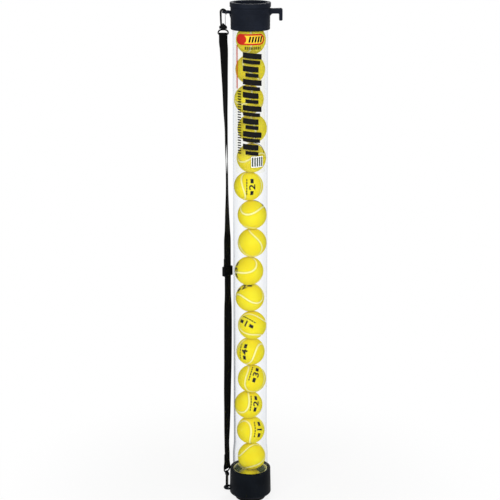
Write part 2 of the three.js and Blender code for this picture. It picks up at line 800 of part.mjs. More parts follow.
// The slider's middle bar stands behind the webbing and its outer bars in front of it, so the
// running layer passes straight between them. X is the width of the webbing, Y its back.
function slider() {
  const railInner = webbingWidth / 2 + sliderRailGap;
  const railOuter = railInner + sliderRail;
  const barBack = -(layerOuter + sliderBarGap);
  const front = barBack - sliderBarDepth;
  const middleFront = layerOuter + sliderBarGap;
  const back = middleFront + sliderMiddleDepth;
  const top = sliderHeight / 2;
  const railShape = outline([
    [front, -top, sliderRound], [back, -top, sliderRound],
    [back, top, sliderRound], [front, top, sliderRound],
  ]);
  const rail = (side) => solid(plate(railShape, sliderRail).rotateZ(Math.PI / 2)
    .translate(side * (railInner + railOuter) / 2, 0, 0));
  const bar = (near, far, low, high) => solid(block([-railOuter, near, low], [railOuter, far, high]));
  const frame = rail(-1).add(rail(1))
    .add(bar(front + sliderRound, barBack, top - sliderBarHeight, top - sliderRound))
    .add(bar(front + sliderRound, barBack, sliderRound - top, sliderBarHeight - top))
    .add(bar(middleFront, back - sliderRound / 2, -sliderMiddleHeight / 2, sliderMiddleHeight / 2));
  return part('slider', geometryOf(frame), black);
}

// The end of the returning layer, folded round the slider's middle bar and sewn to itself.
function sliderFold() {
  const barFront = layerOuter + sliderBarGap;
  const bendCentre = barFront + sliderMiddleDepth / 2;
  const bendInner = bendCentre - layerOuter;
  const bendOuter = bendInner + webbingThickness;
  const bendBase = -sliderMiddleHeight / 2;
  const back = bendCentre + bendOuter;
  const seamBack = layerOuter + webbingThickness;
  const shape = new THREE.Shape();
  shape.moveTo(layerInner, sliderFoldHeight);
  shape.lineTo(layerInner, bendBase);
  shape.absarc(bendCentre, bendBase, bendOuter, Math.PI, 2 * Math.PI, false);
  shape.lineTo(back, sliderFoldBend);
  shape.lineTo(seamBack, sliderFoldSeam);
  shape.lineTo(seamBack, sliderFoldHeight);
  shape.closePath();
  const inside = new THREE.Path();
  inside.moveTo(layerOuter, sliderFoldEnd);
  inside.lineTo(layerOuter, bendBase);
  inside.absarc(bendCentre, bendBase, bendInner, Math.PI, 2 * Math.PI, false);
  inside.lineTo(back - webbingThickness, sliderFoldBend);
  inside.closePath();
  shape.holes.push(inside);
  const strip = plate(shape, webbingWidth, arcSteps).rotateZ(Math.PI / 2);
  return part('strap_slider_fold', closed(strip), webbing);
}

function sliderGroup() {
  const { centre, turn } = strapFrame(sliderZ);
  const carrier = new THREE.Group();
  carrier.add(slider(), sliderFold());
  carrier.position.copy(centre);
  carrier.rotation.set(0, 0, -turn);
  return carrier;
}

function printFilm() {
  const inner = tubeOuter + fit;
  const outer = inner + filmThickness;
  const top = collarBase - filmDrop;
  const sections = [];
  for (let step = 0; step <= filmSteps; step += 1) {
    const azimuth = turnOf((2 * step / filmSteps - 1) * filmHalfAngleDegrees);
    const corners = [[inner, top - filmHeight], [outer, top - filmHeight], [outer, top], [inner, top]];
    sections.push(corners.map(([radius, height]) => new THREE.Vector3(
      radius * Math.sin(azimuth), -radius * Math.cos(azimuth), height,
    )));
  }
  return part('print_film', loft(sections), clear);
}

const group = new THREE.Group();
group.add(tube(), topCollar(), head(), mouthRing(), liner(), printFilm());
fingerAzimuthDegrees.forEach((azimuth, i) => group.add(finger(i + 1, azimuth)));
group.add(...balls());
group.add(upperHook(), lowerHook());
group.add(strapLayer('strap_main', strapBottom, strapTop, -1));
group.add(strapLayer('strap_return', returnBottom, strapTop, 1));
group.add(sliderGroup());

export default group;
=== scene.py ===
"""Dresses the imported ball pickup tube: a clear tube of tennis balls with a moulded collar and
head, soft flaps, two swivel snap hooks and a webbing shoulder strap with a slider.

Sizes are in millimetres and are turned into metres where a mesh is made. +Z is up along the tube,
-Y is the front and the origin is the centre of the foot.
"""

from __future__ import annotations

import logging
import math
from abc import ABC, abstractmethod
from collections.abc import Callable, Iterator, Sequence
from contextlib import contextmanager
from dataclasses import dataclass, field
from enum import Enum

import bmesh
import bpy
from mathutils import Matrix, Quaternion, Vector

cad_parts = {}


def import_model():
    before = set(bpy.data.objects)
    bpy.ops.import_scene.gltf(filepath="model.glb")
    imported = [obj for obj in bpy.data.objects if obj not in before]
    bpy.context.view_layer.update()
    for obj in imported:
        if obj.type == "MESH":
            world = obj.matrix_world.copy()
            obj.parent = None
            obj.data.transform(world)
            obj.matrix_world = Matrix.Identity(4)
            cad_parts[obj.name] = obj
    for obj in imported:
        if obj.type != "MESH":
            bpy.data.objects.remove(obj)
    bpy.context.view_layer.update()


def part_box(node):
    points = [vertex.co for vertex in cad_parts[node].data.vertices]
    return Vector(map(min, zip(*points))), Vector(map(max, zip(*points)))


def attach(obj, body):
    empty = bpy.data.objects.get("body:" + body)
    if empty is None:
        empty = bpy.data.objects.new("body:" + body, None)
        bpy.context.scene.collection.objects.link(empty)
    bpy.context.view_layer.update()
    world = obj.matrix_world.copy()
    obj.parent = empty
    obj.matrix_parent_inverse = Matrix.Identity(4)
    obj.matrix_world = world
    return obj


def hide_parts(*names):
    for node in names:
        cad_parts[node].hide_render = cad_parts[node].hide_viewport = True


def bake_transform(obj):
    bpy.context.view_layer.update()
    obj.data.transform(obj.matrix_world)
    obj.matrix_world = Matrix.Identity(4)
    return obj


LOG = logging.getLogger("ball_tube")
MM = 0.001
ROUND_SEGMENTS = 144
SHARP_DEGREES = 38.0
FRONT_AXIS = Vector((0, 1, 0))
Node = bpy.types.Node
Socket = bpy.types.NodeSocket
Object = bpy.types.Object
Mesh = bpy.types.Mesh
Colour = tuple[float, float, float]
Point2 = tuple[float, float]
Corner = tuple[float, float, float]
Faces = list[tuple[int, ...]]


class Slot(Enum):
    """The record's material slots."""

    TUBE = "clear_tube"
    FILM = "print_film"
    BLACK = "black_plastic"
    RUBBER = "soft_rubber"
    FLAP = "finger_plastic"
    FELT = "ball_felt"
    HOOK = "hook_metal"
    WEBBING = "webbing"
    SLIDER = "slider_plastic"


class Joining(Enum):
    """How two solids are put together."""

    UNION = "UNION"
    DIFFERENCE = "DIFFERENCE"


class Way(Enum):
    """Which way a fold goes round its bar."""

    OVER = 1
    UNDER = -1


# Node trees


def operator(operation: str, swapped: bool = False) -> Callable[..., Value]:
    """A method of Value that adds a Math node.

    Args:
        operation: The node's operation.
        swapped: Whether the other number comes first.

    Returns:
        The method.
    """

    def method(self: Value, *others: Number) -> Value:
        """Adds the node."""
        return self.nodes.math(operation, *((*others, self) if swapped else (self, *others)))

    return method


class Value:
    """A number inside a node tree. Each operator used on it adds a Math node."""

    __add__ = __radd__ = operator("ADD")
    __sub__, __rsub__ = operator("SUBTRACT"), operator("SUBTRACT", swapped=True)
    __mul__ = __rmul__ = operator("MULTIPLY")
    __truediv__, __rtruediv__ = operator("DIVIDE"), operator("DIVIDE", swapped=True)
    __pow__ = operator("POWER")
    __abs__ = operator("ABSOLUTE")
    root = operator("SQRT")
    sine = operator("SINE")
    at_most = operator("MINIMUM")
    at_least = operator("MAXIMUM")

    def __init__(self, nodes: Nodes, socket: Socket) -> None:
        """Wraps a socket of the tree that nodes builds."""
        self.nodes = nodes
        self.socket = socket

    def rise(self, low: float, high: float) -> Value:
        """A smooth step from 0 at low to 1 at high.

        Args:
            low: Where the step starts.
            high: Where it ends.

        Returns:
            The step.
        """
        links = {"Value": self, "From Min": low, "From Max": high}
        node = self.nodes.add(
            "ShaderNodeMapRange", {"interpolation_type": "SMOOTHSTEP"}, links
        )
        return self.nodes.value(node, "Result")


Number = Value | float
Link = Value | float | int | bool | str | tuple | Socket | Node | bpy.types.Material


class Nodes:
    """Builds a node tree: Math nodes through Value, and any other node through add."""

    def __init__(self, tree: bpy.types.NodeTree) -> None:
        """Works on the given tree."""
        self.tree = tree

    def add(
        self,
        kind: str,
        settings: dict[str, object] | None = None,
        links: dict[str | int, Link] | None = None,
    ) -> Node:
        """Adds one node.

        Args:
            kind: The node's type.
            settings: Its settings, which are set first.
            links: Values or links for its sockets, by identifier, name or number. A node
                stands for its first output.

        Returns:
            The node.
        """
        node = self.tree.nodes.new(kind)
        for name, value in (settings or {}).items():
            setattr(node, name, value)
        for key, value in (links or {}).items():
            named = [socket for socket in node.inputs if socket.identifier == key]
            socket = named[0] if named else node.inputs[key]
            if isinstance(value, Node):
                value = value.outputs[0]
            if isinstance(value, Value):
                value = value.socket
            if isinstance(value, Socket):
                self.tree.links.new(value, socket)
            else:
                socket.default_value = value
        return node

    def math(self, operation: str, *numbers: Number) -> Value:
        """Adds a Math node on the given numbers."""
        links = dict(enumerate(numbers))
        return self.value(self.add("ShaderNodeMath", {"operation": operation}, links))

    def value(self, node: Node, output: str | int = 0) -> Value:
        """Wraps an output of a node as a number."""
        return Value(self, node.outputs[output])

    def place(self) -> Socket:
        """The object's own coordinates."""
        return self.add("ShaderNodeTexCoord").outputs["Object"]

    def mix(self, factor: Number, first: Link, second: Link) -> Socket:
        """Mixes two colours, from the first at factor 0 to the second at 1.

        Args:
            factor: The second colour's share.
            first: A colour or a link.
            second: A colour or a link.

        Returns:
            The mixed colour.
        """
        links = {"Factor_Float": factor, "A_Color": opaque(first), "B_Color": opaque(second)}
        node = self.add("ShaderNodeMix", {"data_type": "RGBA"}, links)
        return next(output for output in node.outputs if output.identifier == "Result_Color")

    def blend(self, share: Number, first: Link, second: Link) -> Node:
        """Mixes two shaders, from the first at share 0 to the second at 1."""
        return self.add("ShaderNodeMixShader", links={0: share, 1: first, 2: second})

    def coloured(self, kind: str, colour: Link) -> Node:
        """A simple shader of one colour."""
        return self.add(kind, links={"Color": opaque(colour)})

    def principled(
        self, colour: Link, rough: Number, specular: float, more: dict[str, Link] | None = None
    ) -> Node:
        """A Principled shader, with more sockets by name."""
        links = {"Base Color": opaque(colour), "Roughness": rough, "Specular IOR Level": specular}
        return self.add("ShaderNodeBsdfPrincipled", links=links | (more or {}))

    def noise(self, place: Link, scale: float, detail: float = 2.0, rough: float = 0.5) -> Value:
        """A noise between 0 and 1, with scale cells in a metre.

        Args:
            place: Where it is read.
            scale: Cells in a metre.
            detail: Its octaves.
            rough: The strength of the finer octaves.

        Returns:
            The noise.
        """
        links = {"Vector": place, "Scale": scale, "Detail": detail, "Roughness": rough}
        node = self.add("ShaderNodeTexNoise", links=links)
        return self.value(node, "Fac" if "Fac" in node.outputs else 0)

    def stretched(self, place: Link, scale: Colour) -> Socket:
        """The place with each axis scaled on its own."""
        links = {"Vector": place, "Scale": scale}
        return self.add("ShaderNodeMapping", {"vector_type": "POINT"}, links).outputs["Vector"]

    def split(self, vector: Link) -> tuple[Value, Value, Value]:
        """The three numbers of a vector."""
        node = self.add("ShaderNodeSeparateXYZ", links={0: vector})
        return self.value(node, 0), self.value(node, 1), self.value(node, 2)

    def bump(self, height: Value, depth: float, strength: float = 1.0) -> Socket:
        """A normal from a height between 0 and 1 that stands for depth in metres."""
        links = {"Height": height, "Distance": depth, "Strength": strength}
        return self.add("ShaderNodeBump", links=links).outputs["Normal"]

    def seen_directly(self) -> Value:
        """1 for rays that show the backdrop: from the camera, gloss and clear pieces.

        Returns:
            The mask.
        """
        path = self.add("ShaderNodeLightPath")
        shown = self.value(path, "Is Camera Ray").at_least(self.value(path, "Is Glossy Ray"))
        return shown.at_least(self.value(path, "Is Transmission Ray"))


def opaque(colour: Link) -> Link:
    """A plain colour with its fourth number, or a socket as it is."""
    return (*colour, 1.0) if isinstance(colour, tuple) and len(colour) == 3 else colour


def scaled(colour: Colour, factor: float) -> Colour:
    """A lighter or darker shade of a colour."""
    return tuple(channel * factor for channel in colour)


# Finishes


@dataclass(frozen=True)
class Finish(ABC):
    """A named finish that makes one material."""

    name: str

    @abstractmethod
    def shader(self, nodes: Nodes) -> Node:
        """Builds the finish and returns its shader.

        Args:
            nodes: The material's tree.

        Returns:
            The finish's shader.
        """

    def material(self) -> bpy.types.Material:
        """The finish's material, made once.

        Returns:
            The material.
        """
        made = bpy.data.materials.get(self.name)
        if not made:
            made = bpy.data.materials.new(self.name)
            made.use_nodes = True
            made.node_tree.nodes.clear()
            nodes = Nodes(made.node_tree)
            nodes.add("ShaderNodeOutputMaterial", links={"Surface": self.shader(nodes)})
        return made


@dataclass(frozen=True)
class Moulding(Finish):
    """Moulded plastic or rubber with a fine grain, cloudy tone, scuffs and scratches, and where
    set a lighter band low down: wear, and on the head partly a painted highlight.
    """

    colour: Colour = (0.0088, 0.0110, 0.0172)
    scuff_colour: Colour = (0.030, 0.032, 0.038)
    roughness: float = 0.5
    specular: float = 0.03
    grain_cells: float = 1700.0
    grain_depth: float = 0.00004
    scuff_share: float = 0.35
    ground_wear: float = 0.0
    worn_band: tuple[float, float] = (0.002, 0.022)

    def shader(self, nodes: Nodes) -> Node:
        """Builds the finish and returns its shader.

        Args:
            nodes: The material's tree.

        Returns:
            The finish's shader.
        """
        place = nodes.place()
        cloud = nodes.noise(place, 28.0, 3.0)
        grain = nodes.noise(place, self.grain_cells)
        drawn = nodes.noise(nodes.stretched(place, (1.0, 1.0, 0.12)), 420.0, 5.0, 0.7)
        patch = nodes.noise(place, 46.0, 4.0, 0.65)
        scuff = drawn.rise(0.56, 0.70) * patch.rise(0.48, 0.66) * self.scuff_share
        # Lighter low down: rubbing wear on the rubber lip, and on the head's narrow lower-edge
        # band partly wear and partly a painted highlight line.
        if self.ground_wear:
            foot = 1.0 - nodes.split(place)[2].rise(*self.worn_band)
            scuff = (scuff + foot * patch.rise(0.35, 0.7) * self.ground_wear).at_most(1.0)
        dark, pale = scaled(self.colour, 0.82), scaled(self.colour, 1.25)
        colour = nodes.mix(scuff, nodes.mix(cloud.rise(0.3, 0.7), dark, pale), self.scuff_colour)
        rough = self.roughness + (cloud - 0.5) * 0.14 + scuff * 0.2 + (grain - 0.5) * 0.06
        normal = nodes.bump(grain + drawn * 0.5, self.grain_depth)
        return nodes.principled(colour, rough, self.specular, {"Normal": normal})


@dataclass(frozen=True)
class CoatedMetal(Finish):
    """Black coating on a die casting, a little uneven, with the metal dulled at worn spots."""

    colour: Colour = (0.0022, 0.0023, 0.0027)
    worn: Colour = (0.015, 0.015, 0.016)
    roughness: float = 0.42
    specular: float = 0.03
    bare: float = 0.0

    def shader(self, nodes: Nodes) -> Node:
        """Builds the finish and returns its shader.

        Args:
            nodes: The material's tree.

        Returns:
            The finish's shader.
        """
        place = nodes.place()
        peel = nodes.noise(place, 900.0)
        patch = nodes.noise(place, 240.0, 5.0, 0.7)
        wear = (patch.rise(0.62, 0.74) * 0.4 + self.bare).at_most(1.0)
        rough = self.roughness + (peel - 0.5) * 0.12 + wear * 0.15
        more = {"Metallic": wear * 0.6, "Normal": nodes.bump(peel, 0.00005)}
        colour = nodes.mix(wear, self.colour, self.worn)
        return nodes.principled(colour, rough, self.specular, more)


@dataclass(frozen=True)
class Felt(Finish):
    """Ball felt with its pale seam. It reads the seam's distance and the ball's own place."""

    colour: Colour = (0.88, 0.72, 0.006)
    deep: Colour = (0.70, 0.56, 0.004)
    light: Colour = (0.88, 0.775, 0.016)
    seam_colour: Colour = (0.93, 0.89, 0.36)
    seam_half: float = 2.1

    def shader(self, nodes: Nodes) -> Node:
        """Builds the finish and returns its shader.

        Args:
            nodes: The material's tree.

        Returns:
            The finish's shader.
        """
        stored = nodes.add("ShaderNodeAttribute", {"attribute_name": Ball.PLACE})
        place = stored.outputs["Vector"]
        seam = nodes.add("ShaderNodeAttribute", {"attribute_name": Ball.SEAM})
        edge = nodes.noise(place, 700.0)
        distance = abs(nodes.value(seam, "Fac")) + (edge - 0.5) * 0.4 * MM
        half = self.seam_half * MM
        felt = distance.rise(half * 0.72, half * 1.25)
        lip = 1.0 - distance.rise(half * 1.2, half * 2.3)
        wool = nodes.noise(place, 1300.0, 4.0, 0.7)
        tuft = nodes.noise(place, 260.0, 3.0, 0.6)
        cloud = nodes.noise(place, 42.0)
        fibre = nodes.noise(nodes.stretched(place, (1.0, 3.2, 0.8)), 800.0, 5.0, 0.75)
        tone = nodes.mix(cloud.rise(0.32, 0.7), self.colour, self.light)
        tone = nodes.mix(tuft.rise(0.55, 0.8) * 0.4 + wool.rise(0.5, 0.8) * 0.3, tone, self.deep)
        tone = nodes.mix(felt * lip * 0.6, tone, self.deep)
        height = felt * (wool * 0.6 + fibre * 0.5 + tuft * 0.6 + 0.5)
        more = {"Sheen Weight": 0.015, "Sheen Roughness": 0.6}
        more["Normal"] = nodes.bump(height, 0.00042, 0.8)
        colour = nodes.mix(felt, self.seam_colour, tone)
        return nodes.principled(colour, 0.72 + felt * 0.24, 0.03, more)


@dataclass(frozen=True)
class ClearPlastic(Finish):
    """Thin clear plastic: it dims a little and takes more gloss where it is seen edge on, and can
    take a painted shade of the strap on its left edge.
    """

    tint: Colour = (0.985, 0.988, 0.992)
    edge_tint: Colour = (0.52, 0.57, 0.66)
    dark_tint: Colour = (0.10, 0.11, 0.13)
    band_share: float = 0.05
    edge_share: float = 0.9
    edge_power: float = 12.0
    dark_share: float = 0.0
    gloss: float = 0.010
    edge_gloss: float = 0.4
    haze: float = 0.0

    def shader(self, nodes: Nodes) -> Node:
        """Builds the finish and returns its shader.

        Args:
            nodes: The material's tree.

        Returns:
            The finish's shader.
        """
        place = nodes.place()
        facing = nodes.value(nodes.add("ShaderNodeLayerWeight", links={"Blend": 0.5}), "Facing")
        drawn = nodes.noise(nodes.stretched(place, (1.0, 1.0, 0.04)), 900.0, 4.0, 0.7)
        smear = nodes.noise(nodes.stretched(place, (1.0, 1.0, 0.3)), 60.0, 3.0, 0.6)
        scratch = drawn.rise(0.66, 0.74) * smear.rise(0.45, 0.6)
        clear = "ShaderNodeBsdfTransparent"
        band = facing.rise(0.18, 0.5) * self.band_share
        rim = facing**self.edge_power * self.edge_share
        through, dim = nodes.coloured(clear, self.tint), nodes.coloured(clear, self.edge_tint)
        wall = nodes.blend((band + rim).at_most(0.9), through, dim)
        if self.dark_share:  # Painted shade of the strap: the wall's edge is darker where the strap hangs close beside it
            left, _, height = nodes.split(place)
            near = (1.0 - left.rise(-0.036, -0.030)) * (1.0 - height.rise(0.22, 0.78))
            share = facing.rise(0.48, 0.82) * near * self.dark_share
            wall = nodes.blend(share, wall, nodes.coloured(clear, self.dark_tint))
        more = {"Normal": nodes.bump(smear, 0.00012)}
        surface = nodes.principled((0.9, 0.92, 0.94), 0.08 + smear * 0.08, 0.5, more)
        share = self.gloss + facing**5.0 * self.edge_gloss * 0.3 + scratch * 0.02
        share = share + smear.rise(0.4, 0.8) * self.haze
        return nodes.blend(share.at_most(0.9), wall, surface)


@dataclass(frozen=True)
class Ink(Finish):
    """Printing ink with pinholes and a slightly uneven cover."""

    colour: Colour = (0.0055, 0.0055, 0.0055)
    thin: Colour = (0.022, 0.022, 0.016)

    def shader(self, nodes: Nodes) -> Node:
        """Builds the finish and returns its shader.

        Args:
            nodes: The material's tree.

        Returns:
            The finish's shader.
        """
        cover = nodes.noise(nodes.place(), 620.0, 4.0, 0.7)
        colour = nodes.mix(cover.rise(0.55, 0.8) * 0.6, self.colour, self.thin)
        return nodes.principled(colour, 0.42 + cover * 0.2, 0.06)


@dataclass(frozen=True)
class Weave(Finish):
    """Webbing woven in ribs across its width. It reads the piece's own map, in metres."""

    colour: Colour = (0.0014, 0.0015, 0.0016)
    light: Colour = (0.0046, 0.0048, 0.0052)
    pitch: float = 1.25
    rib: float = 1.9

    def shader(self, nodes: Nodes) -> Node:
        """Builds the finish and returns its shader.

        Args:
            nodes: The material's tree.

        Returns:
            The finish's shader.
        """
        place = nodes.add("ShaderNodeUVMap", {"uv_map": Ribbon.MAP}).outputs["UV"]
        across, along, _ = nodes.split(place)
        wave = math.pi / MM
        rib = abs((across * (wave / self.rib)).sine())
        shift = (across * (wave / self.rib * 0.5)).sine().rise(-0.05, 0.05)
        pick = abs((along * (wave / self.pitch) + shift * (math.pi / 2)).sine())
        yarn = nodes.noise(nodes.stretched(place, (1.0, 0.35, 1.0)), 2600.0, 4.0, 0.7)
        fade = nodes.noise(place, 38.0, 3.0)
        height = rib**0.5 * 0.45 + pick**0.6 * 0.55
        # Raised yarn is painted lighter and the hollows between ribs and picks darker: painted
        # shade in the weave. The yarn noise and the fade are random tone.
        share = height.rise(0.45, 1.0) * 0.55 + yarn.rise(0.5, 0.8) * 0.3
        tone = nodes.mix(share, self.colour, self.light)
        tone = nodes.mix(fade.rise(0.4, 0.75) * 0.3, tone, self.light)
        more = {"Sheen Weight": 0.01, "Normal": nodes.bump(height + yarn * 0.35, 0.00022)}
        return nodes.principled(tone, 0.86 - height * 0.12, 0.03, more)


@dataclass(frozen=True)
class Thread(Finish):
    """Sewing thread, a shade lighter than the webbing under it."""

    colour: Colour = (0.008, 0.008, 0.0095)

    def shader(self, nodes: Nodes) -> Node:
        """Builds the finish and returns its shader.

        Args:
            nodes: The material's tree.

        Returns:
            The finish's shader.
        """
        ply = nodes.noise(nodes.place(), 3000.0)
        colour = nodes.mix(ply, self.colour, scaled(self.colour, 2.2))
        return nodes.principled(colour, 0.7 + ply * 0.1, 0.05)


@dataclass(frozen=True)
class StudioFloor(Finish):
    """A pale floor that keeps the shadow near the object and is plain white further out."""

    colour: Colour = (0.93, 0.93, 0.93)
    lift: float = 0.80

    def shader(self, nodes: Nodes) -> Node:
        """Builds the finish and returns its shader.

        Args:
            nodes: The material's tree.

        Returns:
            The finish's shader.
        """
        across, back, _ = nodes.split(nodes.place())
        far = (across * across + back * back).root().rise(0.18, 0.7)
        plain = nodes.coloured("ShaderNodeBsdfDiffuse", self.colour)
        glow = nodes.add("ShaderNodeEmission", links={"Color": (1, 1, 1, 1), "Strength": 1.0})
        share = (far * (1.0 - self.lift) + self.lift) * nodes.seen_directly()
        return nodes.blend(share, plain, glow)


BLACK_MOULDING = Moulding("moulded_black")
# The head's light band along its lower edge is partly wear and partly a painted highlight line.
HEAD_MOULDING = Moulding(
    "moulded_head", colour=(0.0042, 0.0056, 0.0080), scuff_colour=(0.075, 0.08, 0.088),
    scuff_share=0.14, ground_wear=0.9, worn_band=(0.0140, 0.0162),
)
LIP_RUBBER = Moulding(
    "soft_lip_rubber", colour=(0.0035, 0.0036, 0.0042), scuff_colour=(0.03, 0.029, 0.026),
    roughness=0.7, grain_cells=900.0, ground_wear=0.3,
)
# The flaps' pale scuff streaks are partly scuffs and partly painted glints.
FLAP_PLASTIC = Moulding(
    "flap_plastic", colour=(0.030, 0.042, 0.010), scuff_colour=(0.24, 0.29, 0.12),
    roughness=0.3, specular=0.15, scuff_share=0.6,
)
# The liner's pale yellow is painted glint and painted yellow reflection of the balls inside the
# head's rim.
LINER_PAINTED_GLINT = Moulding(
    "liner_painted_glint", colour=(0.80, 0.78, 0.30), scuff_colour=(0.88, 0.87, 0.6),
    roughness=0.35, specular=0.3,
)
SLIDER_MOULDING = Moulding(
    "slider_moulding", colour=(0.0038, 0.0040, 0.0048), scuff_colour=(0.02, 0.02, 0.022)
)
HOOK_COATING = CoatedMetal("coated_hook")
GATE_STEEL = CoatedMetal(
    "gate_steel", colour=(0.045, 0.042, 0.034), worn=(0.085, 0.08, 0.066), specular=0.15, bare=0.4
)
BALL_FELT = Felt("felt_with_seam")
# The tube's wall takes a painted shade of the strap along its left edge.
TUBE_CLEAR = ClearPlastic("tube_clear", dark_share=0.3)
FILM_CLEAR = ClearPlastic(
    "film_clear", band_share=0.01, edge_share=0.15, edge_gloss=0.15, gloss=0.006, haze=0.010,
    tint=(0.99, 0.985, 0.955),
)
INK_BLACK = Ink("ink_black")
INK_RED = Ink("ink_red", colour=(0.50, 0.022, 0.012), thin=(0.62, 0.10, 0.03))
INK_YELLOW = Ink("ink_yellow", colour=(0.93, 0.60, 0.04), thin=(0.95, 0.72, 0.12))
INK_WHITE = Ink("ink_white", colour=(0.86, 0.87, 0.86), thin=(0.8, 0.82, 0.8))
INK_GREY = Ink("ink_grey", colour=(0.055, 0.075, 0.055), thin=(0.11, 0.14, 0.11))
WEBBING = Weave("woven_webbing")
THREAD = Thread("sewing_thread")


# Points and outlines


def polar(radius: float, angle: float, height: float = 0.0) -> Vector:
    """A point at an angle in radians from the front towards the right."""
    return Vector((radius * math.sin(angle), -radius * math.cos(angle), height))


def level_ring(
    sides: int, wide: float, deep: float, height: float, left: float = 0.0, power: float = 1.0
) -> list[Vector]:
    """A level oval, moved to the left, and squarer with a power below 1.

    Args:
        sides: Points round it.
        wide: Half its width.
        deep: Half its depth.
        height: Its height.
        left: How far its middle is moved.
        power: Its roundness.

    Returns:
        The oval's points.
    """
    points = []
    for i in range(sides):
        angle = 2 * math.pi * i / sides
        x, y = (math.copysign(abs(v) ** power, v) for v in (math.cos(angle), math.sin(angle)))
        points.append(Vector((wide * x - left, deep * y, height)))
    return points


def upright(*points: Point2) -> list[Vector]:
    """Points across and up in the plane Y = 0."""
    return [Vector((x, 0, z)) for x, z in points]


def softened(corners: Sequence[Corner], steps: int = 4) -> list[Point2]:
    """Rounds a closed outline.

    Args:
        corners: Rows of across, up and the corner's rounding.
        steps: Straight pieces in each rounded corner.

    Returns:
        The outline's points.
    """
    made: list[Point2] = []
    for number, (across, up, rounding) in enumerate(corners):
        if rounding <= 0:
            made.append((across, up))
            continue
        corner = Vector((across, up))
        before = Vector(corners[number - 1][:2]) - corner
        after = Vector(corners[(number + 1) % len(corners)][:2]) - corner
        start = corner + before.normalized() * min(rounding, before.length / 2)
        end = corner + after.normalized() * min(rounding, after.length / 2)
        for step in range(steps + 1):
            t = step / steps
            point = start * (1 - t) ** 2 + corner * (2 * t * (1 - t)) + end * t**2
            made.append((point.x, point.y))
    return [p for number, p in enumerate(made) if math.dist(p, made[number - 1]) > 1e-4]


def box(
    left: float, low: float, right: float, high: float, edge: float = 0.0, lean: float = 0.0
) -> list[Point2]:
    """A rectangle, with softened corners or leaning to the right."""
    base = [(left, low, edge), (right, low, edge)]
    return softened([*base, (right + lean, high, edge), (left + lean, high, edge)])


# Meshes


def linked(name: str, data: bpy.types.ID) -> Object:
    """An object at the origin that shows the data.

    Args:
        name: The object's name.
        data: Its mesh, curve, camera or lamp.

    Returns:
        The object.
    """
    made = bpy.data.objects.new(name, data)
    bpy.context.scene.collection.objects.link(made)
    return made


def settled(made: Object) -> Object:
    """Applies an object's modifiers, and returns it with a plain mesh.

    Args:
        made: The object and its modifiers.

    Returns:
        The object, or a new one in place of a curve or text.
    """
    seen = made.evaluated_get(bpy.context.evaluated_depsgraph_get())
    mesh = bpy.data.meshes.new_from_object(seen)
    made.modifiers.clear()
    if made.type == "MESH":
        made.data = mesh
        return made
    name = made.name
    discard(made)
    return linked(name, mesh)


def modified(made: Object, kind: str, settings: dict[str, object]) -> Object:
    """Adds a modifier with the given settings.

    Args:
        made: The object.
        kind: The modifier's type.
        settings: Its settings.

    Returns:
        The same object.
    """
    step = made.modifiers.new(kind.lower(), kind)
    for name, value in settings.items():
        setattr(step, name, value)
    return made


def moved(made: Object, *steps: Matrix) -> Object:
    """Transforms an object's mesh by each step in turn.

    Args:
        made: The object.
        steps: The transforms, first to last.

    Returns:
        The same object.
    """
    for step in steps:
        made.data.transform(step)
    return made


def shift(x: float, y: float, z: float) -> Matrix:
    """A move in millimetres."""
    return Matrix.Translation((x * MM, y * MM, z * MM))


def discard(*unwanted: Object) -> None:
    """Removes helper objects."""
    for one in unwanted:
        bpy.data.objects.remove(one)


@contextmanager
def edited(mesh: Mesh) -> Iterator[bmesh.types.BMesh]:
    """Opens a mesh for editing and writes it back.

    Args:
        mesh: The mesh.

    Yields:
        The mesh while it is edited.
    """
    work = bmesh.new()
    work.from_mesh(mesh)
    yield work
    work.to_mesh(mesh)
    work.free()


def tidied(mesh: Mesh, sharp: float = SHARP_DEGREES) -> Mesh:
    """Merges doubles, turns faces outwards and shades smooth up to an angle.

    Args:
        mesh: The mesh.
        sharp: The angle in degrees.

    Returns:
        The same mesh.
    """
    with edited(mesh) as work:
        bmesh.ops.remove_doubles(work, verts=work.verts, dist=1e-6)
        bmesh.ops.recalc_face_normals(work, faces=work.faces)
    mesh.shade_smooth()
    mesh.set_sharp_from_angle(angle=math.radians(sharp))
    return mesh


def raw_mesh(
    name: str, points: Sequence[Vector], faces: Faces = (), edges: Faces = ()
) -> Mesh:
    """A mesh from points in millimetres.

    Args:
        name: The mesh's name.
        points: Its points.
        faces: Its faces, by point number.
        edges: Its loose edges.

    Returns:
        The mesh.
    """
    mesh = bpy.data.meshes.new(name)
    mesh.from_pydata([point * MM for point in points], edges, faces)
    return mesh


def loft(
    sections: Sequence[Sequence[Vector]], closed: bool = False
) -> tuple[list[Vector], Faces]:
    """Points and faces of sections of equal count joined side to side, as a tube or a ring.

    Args:
        sections: Rings of points.
        closed: Whether the last ring joins the first.

    Returns:
        The points and the faces.
    """
    count = len(sections[0])
    points = [point for section in sections for point in section]
    faces: Faces = []
    for number in range(len(sections) - (not closed)):
        near, far = number * count, (number + 1) % len(sections) * count
        for i in range(count):
            j = (i + 1) % count
            faces.append((near + i, near + j, far + j, far + i))
    if not closed:
        last = len(points) - count
        faces += [tuple(range(count)), tuple(last + i for i in reversed(range(count)))]
    return points, faces


def lofted(name: str, sections: Sequence[Sequence[Vector]], closed: bool = False) -> Object:
    """A solid of sections joined side to side."""
    return linked(name, tidied(raw_mesh(name, *loft(sections, closed))))


def turned(name: str, profile: Sequence[Point2], segments: int = ROUND_SEGMENTS) -> Object:
    """A closed profile of radius and height turned about the tube's axis."""
    angles = [2 * math.pi * segment / segments for segment in range(segments)]
    return lofted(name, [[polar(r, angle, z) for r, z in profile] for angle in angles], True)


